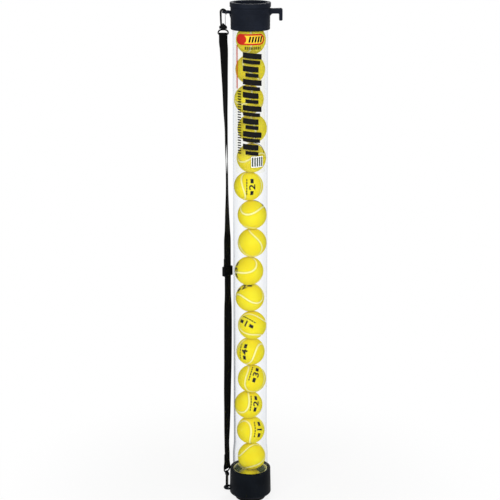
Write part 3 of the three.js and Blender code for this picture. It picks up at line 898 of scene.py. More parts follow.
def swept(
    name: str,
    path: Sequence[Vector],
    halves: Sequence[Point2],
    through: Vector,
    closed: bool = False,
    sides: int = 20,
) -> Object:
    """A bar of oval section along a path.

    Args:
        name: The object's name.
        path: Points of the centre line, in a plane.
        halves: Half the section's width in the plane and through it, at each point.
        through: The plane's normal.
        closed: Whether the path is a ring.
        sides: Sides of the section.

    Returns:
        The bar.
    """
    count = len(path)
    angles = [2 * math.pi * i / sides for i in range(sides)]
    sections = []
    for number, (centre, (wide, deep)) in enumerate(zip(path, halves)):
        before = path[number - 1] if number or closed else centre
        after = path[(number + 1) % count] if number < count - 1 or closed else centre
        side = through.cross((after - before).normalized()).normalized()
        sections.append(
            [centre + side * (wide * math.cos(a)) + through * (deep * math.sin(a)) for a in angles]
        )
    return lofted(name, sections, closed)


def plate(name: str, outline: Sequence[Point2], thickness: float, edge: float = 0.0) -> Object:
    """An outline in X and Z made into a plate centred on Y, with softened edges.

    Args:
        name: The object's name.
        outline: Points across and up.
        thickness: The plate's depth.
        edge: The width of its softened edges.

    Returns:
        The plate.
    """
    count = len(outline)
    points = [Vector((x, side * thickness / 2, z)) for side in (-1, 1) for x, z in outline]
    faces = [tuple(range(count)), tuple(reversed(range(count, 2 * count)))]
    faces += [(i, (i + 1) % count, count + (i + 1) % count, count + i) for i in range(count)]
    made = linked(name, tidied(raw_mesh(name, points, faces)))
    if edge:
        settings = {"width": edge * MM, "segments": 3, "limit_method": "ANGLE"}
        made = settled(modified(made, "BEVEL", settings | {"angle_limit": math.radians(50)}))
    return made


def rounded_block(name: str, low: Corner, high: Corner, edge: float = 0.0) -> Object:
    """A box between two corners with rounded edges.

    Args:
        name: The object's name.
        low: Its lowest corner.
        high: Its highest corner.
        edge: The rounding.

    Returns:
        The block.
    """
    made = plate(name, box(low[0], low[2], high[0], high[2]), high[1] - low[1])
    moved(made, shift(0, (low[1] + high[1]) / 2, 0))
    if edge:
        made = settled(modified(made, "BEVEL", {"width": edge * MM, "segments": 3}))
    return made


def drum(
    name: str, radius: float, low: float, high: float, sides: int, edge: float = 0.0
) -> Object:
    """An upright round bar between two heights, centred on Z.

    Args:
        name: The object's name.
        radius: Its radius.
        low: Its lower end.
        high: Its upper end.
        sides: Its sides.
        edge: The chamfer at its ends.

    Returns:
        The bar.
    """
    rings = [(radius, low), (radius, high)]
    if edge:
        rings = [(radius - edge, low), (radius, low + edge)]
        rings += [(radius, high - edge), (radius - edge, high)]
    return lofted(name, [level_ring(sides, ring, ring, height) for ring, height in rings])


def joined(base: Object, tool: Object, how: Joining = Joining.UNION) -> Object:
    """Joins a tool to a base, or cuts it out of the base, and removes the tool.

    Args:
        base: The solid that stays.
        tool: The other solid.
        how: Whether it is added or cut out.

    Returns:
        The joined solid.
    """
    settings = {"operation": how.value, "solver": "EXACT", "object": tool}
    made = settled(modified(base, "BOOLEAN", settings))
    discard(tool)
    tidied(made.data, 32.0)
    return made


def cast(made: Object, voxel: float, smoothing: int) -> Object:
    """Melts joined solids into one soft-edged casting.

    Args:
        made: The joined solids.
        voxel: The remesh's voxel, in millimetres.
        smoothing: Rounds of smoothing.

    Returns:
        The casting.
    """
    modified(made, "REMESH", {"mode": "VOXEL", "voxel_size": voxel * MM})
    made = settled(modified(made, "SMOOTH", {"factor": 0.5, "iterations": smoothing}))
    made.data.shade_smooth()
    return made


def drawn_flat(name: str, loops: Sequence[Sequence[Point2]], thickness: float) -> Object:
    """Flat shapes, with holes where loops lie in each other, in X and Y with their depth in Z.

    Args:
        name: The object's name.
        loops: Closed outlines.
        thickness: Their depth.

    Returns:
        The shapes.
    """
    curve = bpy.data.curves.new(name, "CURVE")
    curve.dimensions = "2D"
    curve.fill_mode = "BOTH"
    curve.extrude = thickness / 2 * MM
    for loop in loops:
        spline = curve.splines.new("POLY")
        spline.points.add(len(loop) - 1)
        for point, (x, y) in zip(spline.points, loop):
            point.co = (x * MM, y * MM, 0, 1)
        spline.use_cyclic_u = True
    return settled(linked(name, curve))


def drawn_digit(name: str, digit: int, height: float, thickness: float) -> Object:
    """A plain digit about its own centre, in X and Y with its depth in Z.

    Args:
        name: The object's name.
        digit: The digit.
        height: Its height.
        thickness: Its depth.

    Returns:
        The digit.
    """
    text = bpy.data.curves.new(name, "FONT")
    text.body = str(digit)
    text.size = height / 0.7 * MM
    text.extrude = thickness / 2 * MM
    text.offset = 0.00050
    text.align_x = "CENTER"
    return moved(settled(linked(name, text)), shift(0, -height / 2, 0))


def wrapped(made: Object, bend: Callable[[Vector], Vector], grid: float) -> None:
    """Cuts a flat piece into cells and bends it over a surface.

    Args:
        made: A flat piece in X and Y.
        bend: Gives a flat point's place on the surface, both in metres.
        grid: The cells' size, in millimetres.
    """
    with edited(made.data) as work:
        bmesh.ops.remove_doubles(work, verts=work.verts, dist=1e-7)
        for axis, normal in enumerate((Vector((1, 0, 0)), Vector((0, 1, 0)))):
            places = [vertex.co[axis] for vertex in work.verts]
            first, last = min(places), max(places)
            for step in range(1, math.ceil((last - first) / (grid * MM))):
                geometry = work.verts[:] + work.edges[:] + work.faces[:]
                on_cut = normal * (first + step * grid * MM)
                bmesh.ops.bisect_plane(work, geom=geometry, plane_co=on_cut, plane_no=normal)
        for vertex in work.verts:
            vertex.co = bend(vertex.co.copy())
        bmesh.ops.recalc_face_normals(work, faces=work.faces)


def merged(name: str, pieces: Sequence[Object]) -> Object:
    """Puts several meshes into one object and removes the others.

    Args:
        name: The object's name.
        pieces: The objects to merge.

    Returns:
        The one object.
    """
    mesh = bpy.data.meshes.new(name)
    with edited(mesh) as work:
        for piece in pieces:
            work.from_mesh(piece.data)
    discard(*pieces)
    return linked(name, mesh)


# Geometry node trees


class Recipe:
    """A geometry node tree with named inputs that makes a plain mesh."""

    def __init__(self, name: str, sizes: dict[str, float | int]) -> None:
        """Starts the tree with an input for each size.

        Args:
            name: The tree's name.
            sizes: The inputs and their defaults.
        """
        self.tree = bpy.data.node_groups.new(name, "GeometryNodeTree")
        self.nodes = Nodes(self.tree)
        self.keys: dict[str, str] = {}
        face = self.tree.interface
        face.new_socket(name="Base", in_out="INPUT", socket_type="NodeSocketGeometry")
        for label, size in sizes.items():
            kind = "NodeSocketInt" if isinstance(size, int) else "NodeSocketFloat"
            socket = face.new_socket(name=label, in_out="INPUT", socket_type=kind)
            socket.default_value = size
            self.keys[label] = socket.identifier
        face.new_socket(name="Result", in_out="OUTPUT", socket_type="NodeSocketGeometry")
        self.inputs = self.nodes.add("NodeGroupInput")

    def size(self, label: str) -> Value:
        """A named size as a number in the tree."""
        return self.nodes.value(self.inputs, label)

    def vector(self, *numbers: Number) -> Node:
        """A vector of up to three numbers."""
        return self.nodes.add("ShaderNodeCombineXYZ", links=dict(enumerate(numbers)))

    def finished(self, geometry: Link, finish: Finish) -> None:
        """Ends the tree in Realize Instances and Set Material.

        Args:
            geometry: What the tree has made.
            finish: Its finish.
        """
        real = self.nodes.add("GeometryNodeRealizeInstances", links={"Geometry": geometry})
        links = {"Geometry": real, "Material": finish.material()}
        dressed = self.nodes.add("GeometryNodeSetMaterial", links=links)
        self.nodes.add("NodeGroupOutput", links={0: dressed})

    def made(self, mesh: Mesh, sizes: dict[str, float | int] | None = None) -> Object:
        """Runs the tree on a mesh with the given inputs, and returns a plain object.

        Args:
            mesh: What the tree starts from.
            sizes: Inputs that differ from their defaults.

        Returns:
            The plain object.
        """
        base = modified(linked(mesh.name, mesh), "NODES", {"node_group": self.tree})
        for label, size in (sizes or {}).items():
            base.modifiers[0][self.keys[label]] = size
        return settled(base)


class Stitching(Recipe):
    """Rows of stitches along drawn lines."""

    def __init__(self) -> None:
        """Builds the tree."""
        super().__init__("stitching", {"Pitch": 0.0026, "Length": 0.0021, "Radius": 0.00028})
        add, radius = self.nodes.add, self.size("Radius")
        line = add("GeometryNodeMeshToCurve", links={"Mesh": self.inputs})
        links = {"Curve": line, "Length": self.size("Pitch")}
        points = add("GeometryNodeCurveToPoints", {"mode": "LENGTH"}, links)
        bead = add("GeometryNodeMeshUVSphere", links={"Segments": 6, "Rings": 4, "Radius": 1.0})
        shape = self.vector(radius, radius, self.size("Length") * 0.5)
        links = {"Points": points, "Instance": bead, "Rotation": points.outputs["Rotation"]}
        stitches = add("GeometryNodeInstanceOnPoints", links=links | {"Scale": shape})
        self.finished(stitches, THREAD)

    def sewn(self, name: str, rows: Sequence[Sequence[Vector]]) -> Object:
        """Stitches along rows of points in millimetres.

        Args:
            name: The object's name.
            rows: The rows of points.

        Returns:
            The stitches.
        """
        points: list[Vector] = []
        edges: Faces = []
        for row in rows:
            first = len(points)
            points += row
            edges += [(first + i, first + i + 1) for i in range(len(row) - 1)]
        return self.made(raw_mesh(name, points, edges=edges))


class BarRow(Recipe):
    """A row of equal flat bars, such as the marks of a scale."""

    def __init__(self) -> None:
        """Builds the tree."""
        sizes = {"Count": 10, "Pitch": 0.006, "Width": 0.004, "Height": 0.001, "Depth": 0.00006}
        super().__init__("bar_row", sizes)
        add, size = self.nodes.add, self.size
        links = {"Count": size("Count"), "Offset": self.vector(0.0, size("Pitch"))}
        line = add("GeometryNodeMeshLine", links=links)
        shape = self.vector(size("Width"), size("Height"), size("Depth"))
        bar = add("GeometryNodeMeshCube", links={"Size": shape})
        row = add("GeometryNodeInstanceOnPoints", links={"Points": line, "Instance": bar})
        self.finished(row, INK_BLACK)

    def row(self, name: str, count: int, pitch: float, width: float, height: float) -> Object:
        """A row of bars going up from the origin, with sizes in millimetres."""
        sizes = {"Pitch": pitch * MM, "Width": width * MM, "Height": height * MM}
        return self.made(bpy.data.meshes.new(name), {"Count": count} | sizes)


class Ball(Recipe):
    """A felt ball: a sphere grooved along the seam curve x = a cos t + b cos 3t and so on.

    On the unit sphere that curve is where xy = k (z / c)^3, with a = 3/4, b = 1/4, c = sqrt(3)/2
    and k = 1/8, so the tree finds each point's distance to the seam from that rule.
    """

    SEAM = "seam_distance"
    PLACE = "felt_place"
    CUBE_SHARE = 0.125 / (math.sqrt(3) / 2) ** 3

    def __init__(self) -> None:
        """Builds the tree."""
        sizes = {"Radius": 0.0335, "Detail": 6, "Seam Half Width": 0.0020}
        super().__init__("felt_ball", sizes | {"Seam Depth": 0.0008, "Nap": 0.0002})
        nodes, size = self.nodes, self.size
        links = {"Radius": size("Radius"), "Subdivisions": size("Detail")}
        sphere = nodes.add("GeometryNodeMeshIcoSphere", links=links)
        place = nodes.add("GeometryNodeInputPosition")
        unit = nodes.add("ShaderNodeVectorMath", {"operation": "NORMALIZE"}, {0: place})
        distance = self._seam_distance(unit) * size("Radius")
        share = (abs(distance) / size("Seam Half Width")).rise(0.75, 1.7)
        nap = nodes.noise(unit, 30.0, 3.0, 0.6) - 0.5
        lift = (share - 1.0) * size("Seam Depth") + share * nap * size("Nap")
        links = {0: unit, "Scale": lift - size("Nap") * 0.5}
        offset = nodes.add("ShaderNodeVectorMath", {"operation": "SCALE"}, links)
        links = {"Geometry": sphere, "Offset": offset}
        shaped = nodes.add("GeometryNodeSetPosition", links=links)
        for kind, name, value in (
            ("FLOAT", self.SEAM, distance), ("FLOAT_VECTOR", self.PLACE, place)
        ):
            shaped = nodes.add(
                "GeometryNodeStoreNamedAttribute",
                {"data_type": kind, "domain": "POINT"},
                {"Geometry": shaped, "Name": name, "Value": value},
            )
        smooth = nodes.add("GeometryNodeSetShadeSmooth", links={"Geometry": shaped})
        self.finished(smooth, BALL_FELT)

    def _seam_distance(self, unit: Link) -> Value:
        """The distance to the seam curve on a unit sphere, with a sign for each panel.

        Args:
            unit: A point of the sphere.

        Returns:
            The distance.
        """
        x, y, z = self.nodes.split(unit)
        rule = x * y - z * z * z * self.CUBE_SHARE
        slope_z = z * z * (-3 * self.CUBE_SHARE)
        along = 2 * x * y + z * slope_z
        return rule / (x * x + y * y + slope_z * slope_z - along * along).at_least(0.02).root()


# The studio


@dataclass
class Studio:
    """The camera of the photograph, a plain white room and soft lamps. Sizes are in metres."""

    camera_place: Vector = field(default_factory=lambda: Vector((-0.0007, -3.116, 1.5285)))
    camera_tilt: float = 16.22
    lens: float = 101.09
    floor_radius: float = 40.0
    floor_height: float = -0.00005
    fill: float = 0.34

    def build(self) -> None:
        """Makes the camera, the floor, the world and the lamps."""
        data = bpy.data.cameras.new("photo_camera")
        data.lens = self.lens
        data.sensor_width = 36.0
        data.clip_end = 200.0
        camera = linked("photo_camera", data)
        camera.location = self.camera_place
        camera.rotation_euler = (math.radians(90 - self.camera_tilt), 0, 0)
        bpy.context.scene.camera = camera
        self._floor()
        self._world()
        for name, place, size, power in (
            ("key_lamp", (-1.5, -2.6, 2.2), 1.8, 26.0),
            ("front_lamp", (0.1, -3.0, 1.8), 1.4, 50.0),
            ("side_lamp", (2.0, -1.9, 1.4), 1.6, 12.0),
            ("back_lamp", (0.6, 2.2, 2.2), 1.6, 26.0),
        ):
            self._lamp(name, place, size, power)

    def _floor(self) -> None:
        """A round floor that takes the shadow."""
        rim = level_ring(96, self.floor_radius, self.floor_radius, self.floor_height)
        mesh = bpy.data.meshes.new("studio_floor")
        mesh.from_pydata(rim, [], [tuple(range(len(rim)))])
        mesh.materials.append(StudioFloor("floor_white").material())
        linked("studio_floor", mesh)

    def _world(self) -> None:
        """White where it is seen and a plain soft light elsewhere."""
        world = bpy.data.worlds.new("studio")
        world.use_nodes = True
        world.node_tree.nodes.clear()
        nodes = Nodes(world.node_tree)
        soft, white = (
            nodes.add("ShaderNodeBackground", links={"Color": colour, "Strength": strength})
            for colour, strength in (((0.98, 0.99, 1.0, 1.0), self.fill), ((1, 1, 1, 1), 1.0))
        )
        seen = nodes.blend(nodes.seen_directly(), soft, white)
        nodes.add("ShaderNodeOutputWorld", links={"Surface": seen})
        bpy.context.scene.world = world

    @staticmethod
    def _lamp(name: str, place: Corner, size: float, power: float) -> None:
        """A square soft lamp that faces the middle of the tube.

        Args:
            name: The lamp's name.
            place: Where it stands.
            size: Its side.
            power: Its power in watts.
        """
        data = bpy.data.lights.new(name, "AREA")
        data.shape = "SQUARE"
        data.size = size
        data.energy = power
        lamp = linked(name, data)
        lamp.location = place
        aim = Vector((0, 0, 0.6)) - Vector(place)
        lamp.rotation_euler = aim.to_track_quat("-Z", "Y").to_euler()


# Sub-assemblies


@dataclass
class SubAssembly(ABC):
    """A group of pieces that is built and put on its bodies."""

    @abstractmethod
    def build(self) -> None:
        """Makes the pieces."""

    @staticmethod
    def place(
        piece: Object,
        finish: Finish | None,
        body: str | None,
        nodes: Sequence[str] = (),
        slot: Slot | None = None,
    ) -> None:
        """Dresses a piece and puts it on its body.

        Args:
            piece: The piece, at rest in the row frame.
            finish: Its finish, or None if its mesh has one.
            body: The body it rides on, or None if it bends between two.
            nodes: The CAD nodes that it stands for.
            slot: The record's material slot; not used.
        """
        if finish:
            piece.data.materials.clear()
            piece.data.materials.append(finish.material())
        if body:
            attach(piece, body)
        if nodes:
            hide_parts(*nodes)
        LOG.info("%s: %d faces on %s", piece.name, len(piece.data.polygons), body)


@dataclass
class ClearTube(SubAssembly):
    """The clear tube with its belled foot."""

    inner: float = 38.25
    wall: float = 1.25
    bell: float = 2.35
    base: float = 34.0
    bell_top: float = 110.0
    flare_top: float = 150.0
    top: float = 1181.7
    lip: float = 0.35
    steps: int = 10

    def build(self) -> None:
        """Makes the tube as one turned wall."""
        outer, edge = self.inner + self.wall, self.lip
        swell = []
        for step in range(self.steps + 1):
            share = step / self.steps
            out = self.bell * (0.5 + 0.5 * math.cos(math.pi * share))
            swell.append((out, self.bell_top + (self.flare_top - self.bell_top) * share))
        profile = [(outer + self.bell - edge, self.base), (outer + self.bell, self.base + edge)]
        profile += [(outer + out, height) for out, height in swell]
        profile += [(outer, self.top - edge), (outer - edge, self.top)]
        profile += [(self.inner + edge, self.top), (self.inner, self.top - edge)]
        profile += [(self.inner + out, height) for out, height in reversed(swell)]
        profile += [(self.inner + self.bell, self.base + edge)]
        profile += [(self.inner + self.bell + edge, self.base)]
        self.place(turned("tube_wall", profile, 180), TUBE_CLEAR, "root", ["tube"], Slot.TUBE)


@dataclass
class PrintedFilm(SubAssembly):
    """The film on the tube and its plain printed pattern."""

    inner: float = 39.8
    thickness: float = 0.25
    half_angle: float = 55.0
    low: float = 812.0
    high: float = 1126.0
    steps: int = 44
    ink: float = 0.06
    grid: float = 2.0
    block_count: int = 8
    block_left: float = -17.0
    block_right: float = 27.0
    block_top: float = 1085.0
    block_pitch: float = 29.2
    block_slant: float = 5.0
    bar_row: BarRow = field(default_factory=BarRow)

    def build(self) -> None:
        """Makes the film and the inks on it."""
        self._sheet()
        badge = self._pill(-34.0, 1100.5, 34.0, 1124.5)
        lefts = [-4.5 + 6.6 * step for step in range(5)]
        for name, loops, ink, layer in (
            ("film_blocks", self._blocks(), INK_BLACK, 0),
            ("film_rule", [box(-34.6, 1003.0, -31.2, 1099.0)], INK_RED, 0),
            ("film_badge_ground", [badge], INK_YELLOW, 0),
            ("film_badge_rim", [badge, self._pill(-30.6, 1103.9, 30.6, 1121.1)], INK_RED, 1),
            ("film_badge_end", [self._pill(-32.0, 1102.5, -9.0, 1122.5)], INK_RED, 2),
            ("film_badge_bars", [box(x, 1106, x + 4, 1119, lean=2.8) for x in lefts],
             INK_BLACK, 3),
            ("film_patch", [box(2.0, 826.0, 31.0, 851.0)], INK_WHITE, 0),
        ):
            self._print(name, loops, ink, layer)
        for name, sizes, turn, (across, up), ink, layer in (
            ("film_patch_bars", (5, 5.6, 21.0, 3.5), 90, (27.6, 838.5), INK_GREY, 1),
            ("film_scale", (25, 5.8, 9.4, 2.9), 0, (-26.4, 858.0), INK_BLACK, 0),
            ("film_dashes", (9, 4.2, 6.2, 2.4), -90, (-11.0, 1093.5), INK_BLACK, 0),
        ):
            row = self.bar_row.row(name, *sizes)
            moved(row, Matrix.Rotation(math.radians(turn), 4, "Z"), shift(across, up, 0))
            wrapped(row, self._bend(layer), self.grid)
            self.place(row, ink, "root")
        self._print("film_arc", [self._arc(4.0, 852.0, 31.5, 30.2)], INK_BLACK, 0)

    def _sheet(self) -> None:
        """The clear film."""
        outer = self.inner + self.thickness
        low, high = self.low, self.high
        section = [(self.inner, low), (outer, low), (outer, high), (self.inner, high)]
        sections = []
        for step in range(self.steps + 1):
            angle = math.radians((2 * step / self.steps - 1) * self.half_angle)
            sections.append([polar(radius, angle, height) for radius, height in section])
        sheet = lofted("film_sheet", sections)
        self.place(sheet, FILM_CLEAR, "root", ["print_film"], Slot.FILM)

    def _bend(self, layer: int) -> Callable[[Vector], Vector]:
        """How a flat point lies on the film, a layer of ink at a time."""
        ground = (self.inner + self.thickness + self.ink * (layer + 0.4)) * MM
        return lambda point: polar(ground + point.z, point.x / ground, point.y)

    def _print(
        self, name: str, loops: Sequence[Sequence[Point2]], ink: Finish, layer: int
    ) -> None:
        """Prints shapes drawn round the tube and up it.

        Args:
            name: The object's name.
            loops: Closed outlines.
            ink: Their finish.
            layer: How many inks lie under them.
        """
        flat = drawn_flat(name, loops, self.ink)
        wrapped(flat, self._bend(layer), self.grid)
        tidied(flat.data)
        self.place(flat, ink, "root")

    def _blocks(self) -> list[list[Point2]]:
        """Bold slanted bars in pairs, one thick and one thin, lower at their right ends.

        Returns:
            The bars' outlines.
        """
        loops = []
        slope = self.block_slant / (self.block_right - self.block_left)
        for number in range(self.block_count):
            odd = number % 2
            for drop, depth, short in ((0.0, 12.5, 0.0), (15.5, 8.5, 6.0 * odd)):
                left = self.block_left + short
                right = self.block_right - (8.0 if odd else 4.0 if drop else 0.0)
                top = self.block_top - number * self.block_pitch - drop
                ends = [(x, top - slope * (x - self.block_left), 1.0) for x in (left, right)]
                ends += [(x, z - depth, edge) for x, z, edge in reversed(ends)]
                loops.append(softened(ends))
        return loops

    @staticmethod
    def _pill(left: float, low: float, right: float, high: float) -> list[Point2]:
        """A bar with round ends.

        Args:
            left: Its left end.
            low: Its lower side.
            right: Its right end.
            high: Its upper side.

        Returns:
            Its outline.
        """
        radius, middle = (high - low) / 2, (low + high) / 2
        made = []
        for centre, start in ((right - radius, -90.0), (left + radius, 90.0)):
            for angle in (math.radians(start + 15.0 * step) for step in range(13)):
                made.append(
                    (centre + radius * math.cos(angle), middle + radius * math.sin(angle))
                )
        return made

    @staticmethod
    def _arc(across: float, up: float, outer: float, inner: float) -> list[Point2]:
        """A thin quarter ring.

        Args:
            across: Its centre, round the tube.
            up: Its centre's height.
            outer: Its outer radius.
            inner: Its inner radius.

        Returns:
            Its outline.
        """
        angles = [math.radians(8 + 6.5 * step) for step in range(12)]
        rim, back = (
            [(across + radius * math.cos(a), up + radius * math.sin(a)) for a in angles]
            for radius in (outer, inner)
        )
        return rim + back[::-1]


@dataclass
class Lug:
    """A flat ring on a neck with a gusset, on the left of a moulding."""

    ring_x: float
    height: float
    root_x: float
    wall_x: float
    gusset: float
    ring: float = 8.5
    wire: float = 2.75
    neck_width: float = 12.0

    def join_to(self, moulding: Object) -> Object:
        """Joins the lug to a moulding.

        Args:
            moulding: The moulding.

        Returns:
            The moulding with its lug.
        """
        circle = level_ring(56, self.ring, self.ring, self.height, self.ring_x)
        halves = [(self.wire, self.wire)] * len(circle)
        ring = swept("lug_ring", circle, halves, Vector((0, 0, 1)), closed=True)
        end = self.ring_x - self.ring + 1.4 * self.wire
        low, high = self.height - self.wire, self.height + self.wire
        foot = low - self.gusset
        outline = [(-self.root_x, high, 0), (-end, high, 0), (-end, low, 1.2)]
        outline += [(-self.wall_x - 0.2, foot, 0.6), (-self.root_x, foot, 0)]
        neck = plate("lug_neck", softened(outline), self.neck_width, 1.0)
        return joined(joined(moulding, ring), neck)


@dataclass
class TopCollar(SubAssembly):
    """The collar round the tube's top, with the strap's lug and the fence hook."""

    ARM = (
        (41.9, 1160.3, 0), (44.0, 1160.3, 0), (48.0, 1164.8, 2.6), (63.3, 1164.8, 2.6),
        (63.5, 1149.4, 2.4), (71.15, 1149.4, 3.0), (71.15, 1177.0, 4.6), (48.0, 1176.2, 3.0),
        (44.0, 1177.0, 0), (41.9, 1177.0, 0),
    )

    top: float = 1190.0
    base: float = 1130.5
    bore: float = 39.8
    low_radius: float = 43.8
    high_radius: float = 44.0
    rim_radius: float = 45.6
    rim_base: float = 1180.0
    groove: float = 1178.5
    groove_depth: float = 0.8
    lip_radius: float = 38.0
    lip_base: float = 1182.0
    rings: tuple[float, ...] = (1137.0, 1144.0, 1168.0, 1173.0)
    ring_depth: float = 0.35

    def build(self) -> None:
        """Makes the collar as one moulding."""
        high, low, rim = self.high_radius, self.low_radius, self.rim_radius
        dip = high - self.groove_depth
        corners = [(self.bore, self.base, 0.3), (low - 0.9, self.base, 0.3)]
        corners += [(low, self.base + 1.6, 0.5), *self._moulded_rings()]
        corners += [(high, self.groove, 0.25), (dip, self.groove + 0.35, 0.2)]
        corners += [(dip, self.rim_base - 0.2, 0.2), (rim - 0.3, self.rim_base, 0.25)]
        corners += [(rim, self.rim_base + 0.4, 0.3), (rim, self.top, 1.5)]
        corners += [(self.lip_radius, self.top, 1.2), (self.lip_radius, self.lip_base, 0.3)]
        corners += [(self.bore, self.lip_base, 0.2)]
        shell = turned("collar_moulding", softened(corners, 3))
        shell = joined(shell, plate("fence_arm", softened(self.ARM, 5), 10.0, 1.3))
        shell = Lug(51.5, 1168.2, 41.8, 44.0, 9.5).join_to(shell)
        self.place(shell, BLACK_MOULDING, "root", ["top_collar"], Slot.BLACK)

    def _moulded_rings(self) -> list[Corner]:
        """The corners of the shallow rings round the collar's wall.

        Returns:
            The corners, from the lowest.
        """
        corners = []
        for height in self.rings:
            share = (height - self.base) / (self.groove - self.base)
            wall = self.low_radius + (self.high_radius - self.low_radius) * share
            for depth, up in ((0.0, -1.1), (self.ring_depth, -0.7), (self.ring_depth, 0.7),
                              (0.0, 1.1)):
                corners.append((wall - depth, height + up, 0.1))
        return corners


@dataclass
class PickupHead(SubAssembly):
    """The head at the foot with the soft mouth ring and the liner that carries the flaps."""

    HEAD = (
        (41.6, 14.0, 0.3), (49.8, 14.0, 1.1), (48.5, 76.0, 1.5), (42.15, 76.0, 0.9),
        (42.15, 33.7, 0.2), (40.6, 33.7, 0.2), (40.6, 27.4, 0.2), (38.9, 27.4, 0.4),
        (38.9, 24.6, 0.4), (41.6, 24.6, 0.2),
    )
    LIP = (
        (34.2, 0.0, 0.6), (36.2, 0.0, 0.7), (41.3, 13.0, 1.0), (41.3, 24.3, 0.4),
        (35.5, 24.3, 0.8), (32.3, 23.6, 0.6), (31.6, 22.6, 0.5), (31.95, 21.2, 0.5),
        (36.8, 14.0, 1.5),
    )
    LINER = ((38.0, 27.7, 0.3), (40.3, 27.7, 0.3), (40.3, 73.7, 0.5), (38.0, 73.7, 0.6))

    def build(self) -> None:
        """Makes the three turned pieces."""
        shell = turned("head_moulding", softened(self.HEAD, 3))
        shell = Lug(53.5, 22.0, 45.7, 48.5, 4.25).join_to(shell)
        self.place(shell, HEAD_MOULDING, "root", ["head"], Slot.BLACK)
        lip = turned("mouth_lip", softened(self.LIP, 3))
        self.place(lip, LIP_RUBBER, "root", ["mouth_ring"], Slot.RUBBER)
        # The liner's pale colour is painted glint and reflection.
        liner = turned("flap_liner", softened(self.LINER, 3))
        self.place(liner, LINER_PAINTED_GLINT, "root", ["liner"], Slot.FLAP)


@dataclass
class Flap(SubAssembly):
    """One flexible flap that leans in and up from the liner."""

    number: int
    azimuth: float
    hinge_radius: float = 38.85
    hinge_height: float = 74.87
    slope: float = 44.0
    length: float = 12.5
    thickness: float = 2.0
    root_half_angle: float = 15.5
    tip_half_angle: float = 25.6
    across: int = 26
    along: int = 9

    def build(self) -> None:
        """Makes the flap as a grid folded round its edge, wider at its tip."""
        lean = math.radians(self.slope)
        upper: list[Vector] = []
        lower: list[Vector] = []
        for i in range(self.across + 1):
            side = 2 * i / self.across - 1
            reach = self.length * (1 - 0.16 * abs(side) ** 7)
            rib = 0.22 * math.cos(side * math.pi * 6) ** 2
            for j in range(self.along + 1):
                far = j / self.along
                half = self.root_half_angle
                half += (self.tip_half_angle - self.root_half_angle) * far**0.8
                angle = math.radians(self.azimuth + side * half)
                thick = self.thickness / 2 * (1 - 0.25 * far**3 - 0.12 * abs(side) ** 8)
                radius = self.hinge_radius - far * reach * math.cos(lean)
                height = self.hinge_height + far * reach * math.sin(lean)
                for stack, way in ((upper, thick - 0.1 + rib * (1 - far)), (lower, -thick)):
                    out, up = way * math.sin(lean), way * math.cos(lean)
                    stack.append(polar(radius + out, angle, height + up))
        node = f"finger_{self.number}"
        self.place(self._closed(upper, lower), FLAP_PLASTIC, node, [node], Slot.FLAP)

    def _closed(self, upper: list[Vector], lower: list[Vector]) -> Object:
        """Two grids joined round their border.

        Args:
            upper: Points of the upper face.
            lower: Points of the lower face.

        Returns:
            The flap.
        """
        columns, rows, count = self.across + 1, self.along + 1, len(upper)
        faces: Faces = []
        for i in range(columns - 1):
            for j in range(rows - 1):
                a = i * rows + j
                quad = (a, a + rows, a + rows + 1, a + 1)
                faces += [quad, tuple(count + k for k in reversed(quad))]
        border = [i * rows for i in range(columns)]
        border += [(columns - 1) * rows + j for j in range(1, rows)]
        border += [i * rows + rows - 1 for i in reversed(range(columns - 1))]
        border += list(reversed(range(1, rows - 1)))
        faces += [(a, b, count + b, count + a) for a, b in zip(border, border[1:] + border[:1])]
        name = f"flap_{self.number}"
        return linked(name, tidied(raw_mesh(name, upper + lower, faces), 50.0))


@dataclass
class BallLook:
    """How one ball is turned, as the photograph shows it, and its plain print.

    turn is the ball's turn in a frame that faces the camera: X right, Y up, Z to the camera.
    print_place is across and up in ball radii in that frame, and print_turn is in degrees.
    """

    turn: tuple[float, float, float, float]
    print_place: Point2 | None = None
    print_turn: float = 0.0
    digit: int = 1


BALL_LOOKS = (
    BallLook((0.391, -0.279, -0.526, 0.702)),
    BallLook((0.031, 0.668, 0.478, 0.569)),
    BallLook((0.06, -0.043, -0.885, 0.459), (0.53, 0.0), 90.0, 1),
    BallLook((0.615, 0.363, -0.288, 0.638), (0.42, 0.05), 84.0, 2),
    BallLook((0.257, -0.067, 0.646, 0.716), (0.16, 0.32), 72.0, 3),
    BallLook((0.592, -0.221, 0.516, 0.577), (-0.55, -0.05), 80.0, 4),
    BallLook((0.312, -0.759, -0.191, 0.538), (-0.36, 0.22), -29.0, 1),
    BallLook((0.632, -0.6, -0.428, 0.24), (-0.42, 0.80), -4.0, 2),
    BallLook((0.662, -0.259, 0.366, -0.601), (-0.955, 0.08), 90.0, 3),
    BallLook((0.394, 0.74, -0.143, 0.526)),
    BallLook((0.29, 0.372, 0.139, -0.871), (0.70, 0.76), -40.0, 4),
    BallLook((0.476, -0.707, 0.343, 0.396), (0.12, -0.08), 90.0, 2),
    BallLook((0.71, 0.2, -0.64, 0.2)),
    BallLook((0.3, -0.6, 0.5, 0.55)),
    BallLook((0.66, 0.1, 0.3, -0.68)),
    BallLook((0.12, 0.72, -0.3, 0.61)),
    BallLook((0.5, 0.5, -0.45, 0.54)),
)


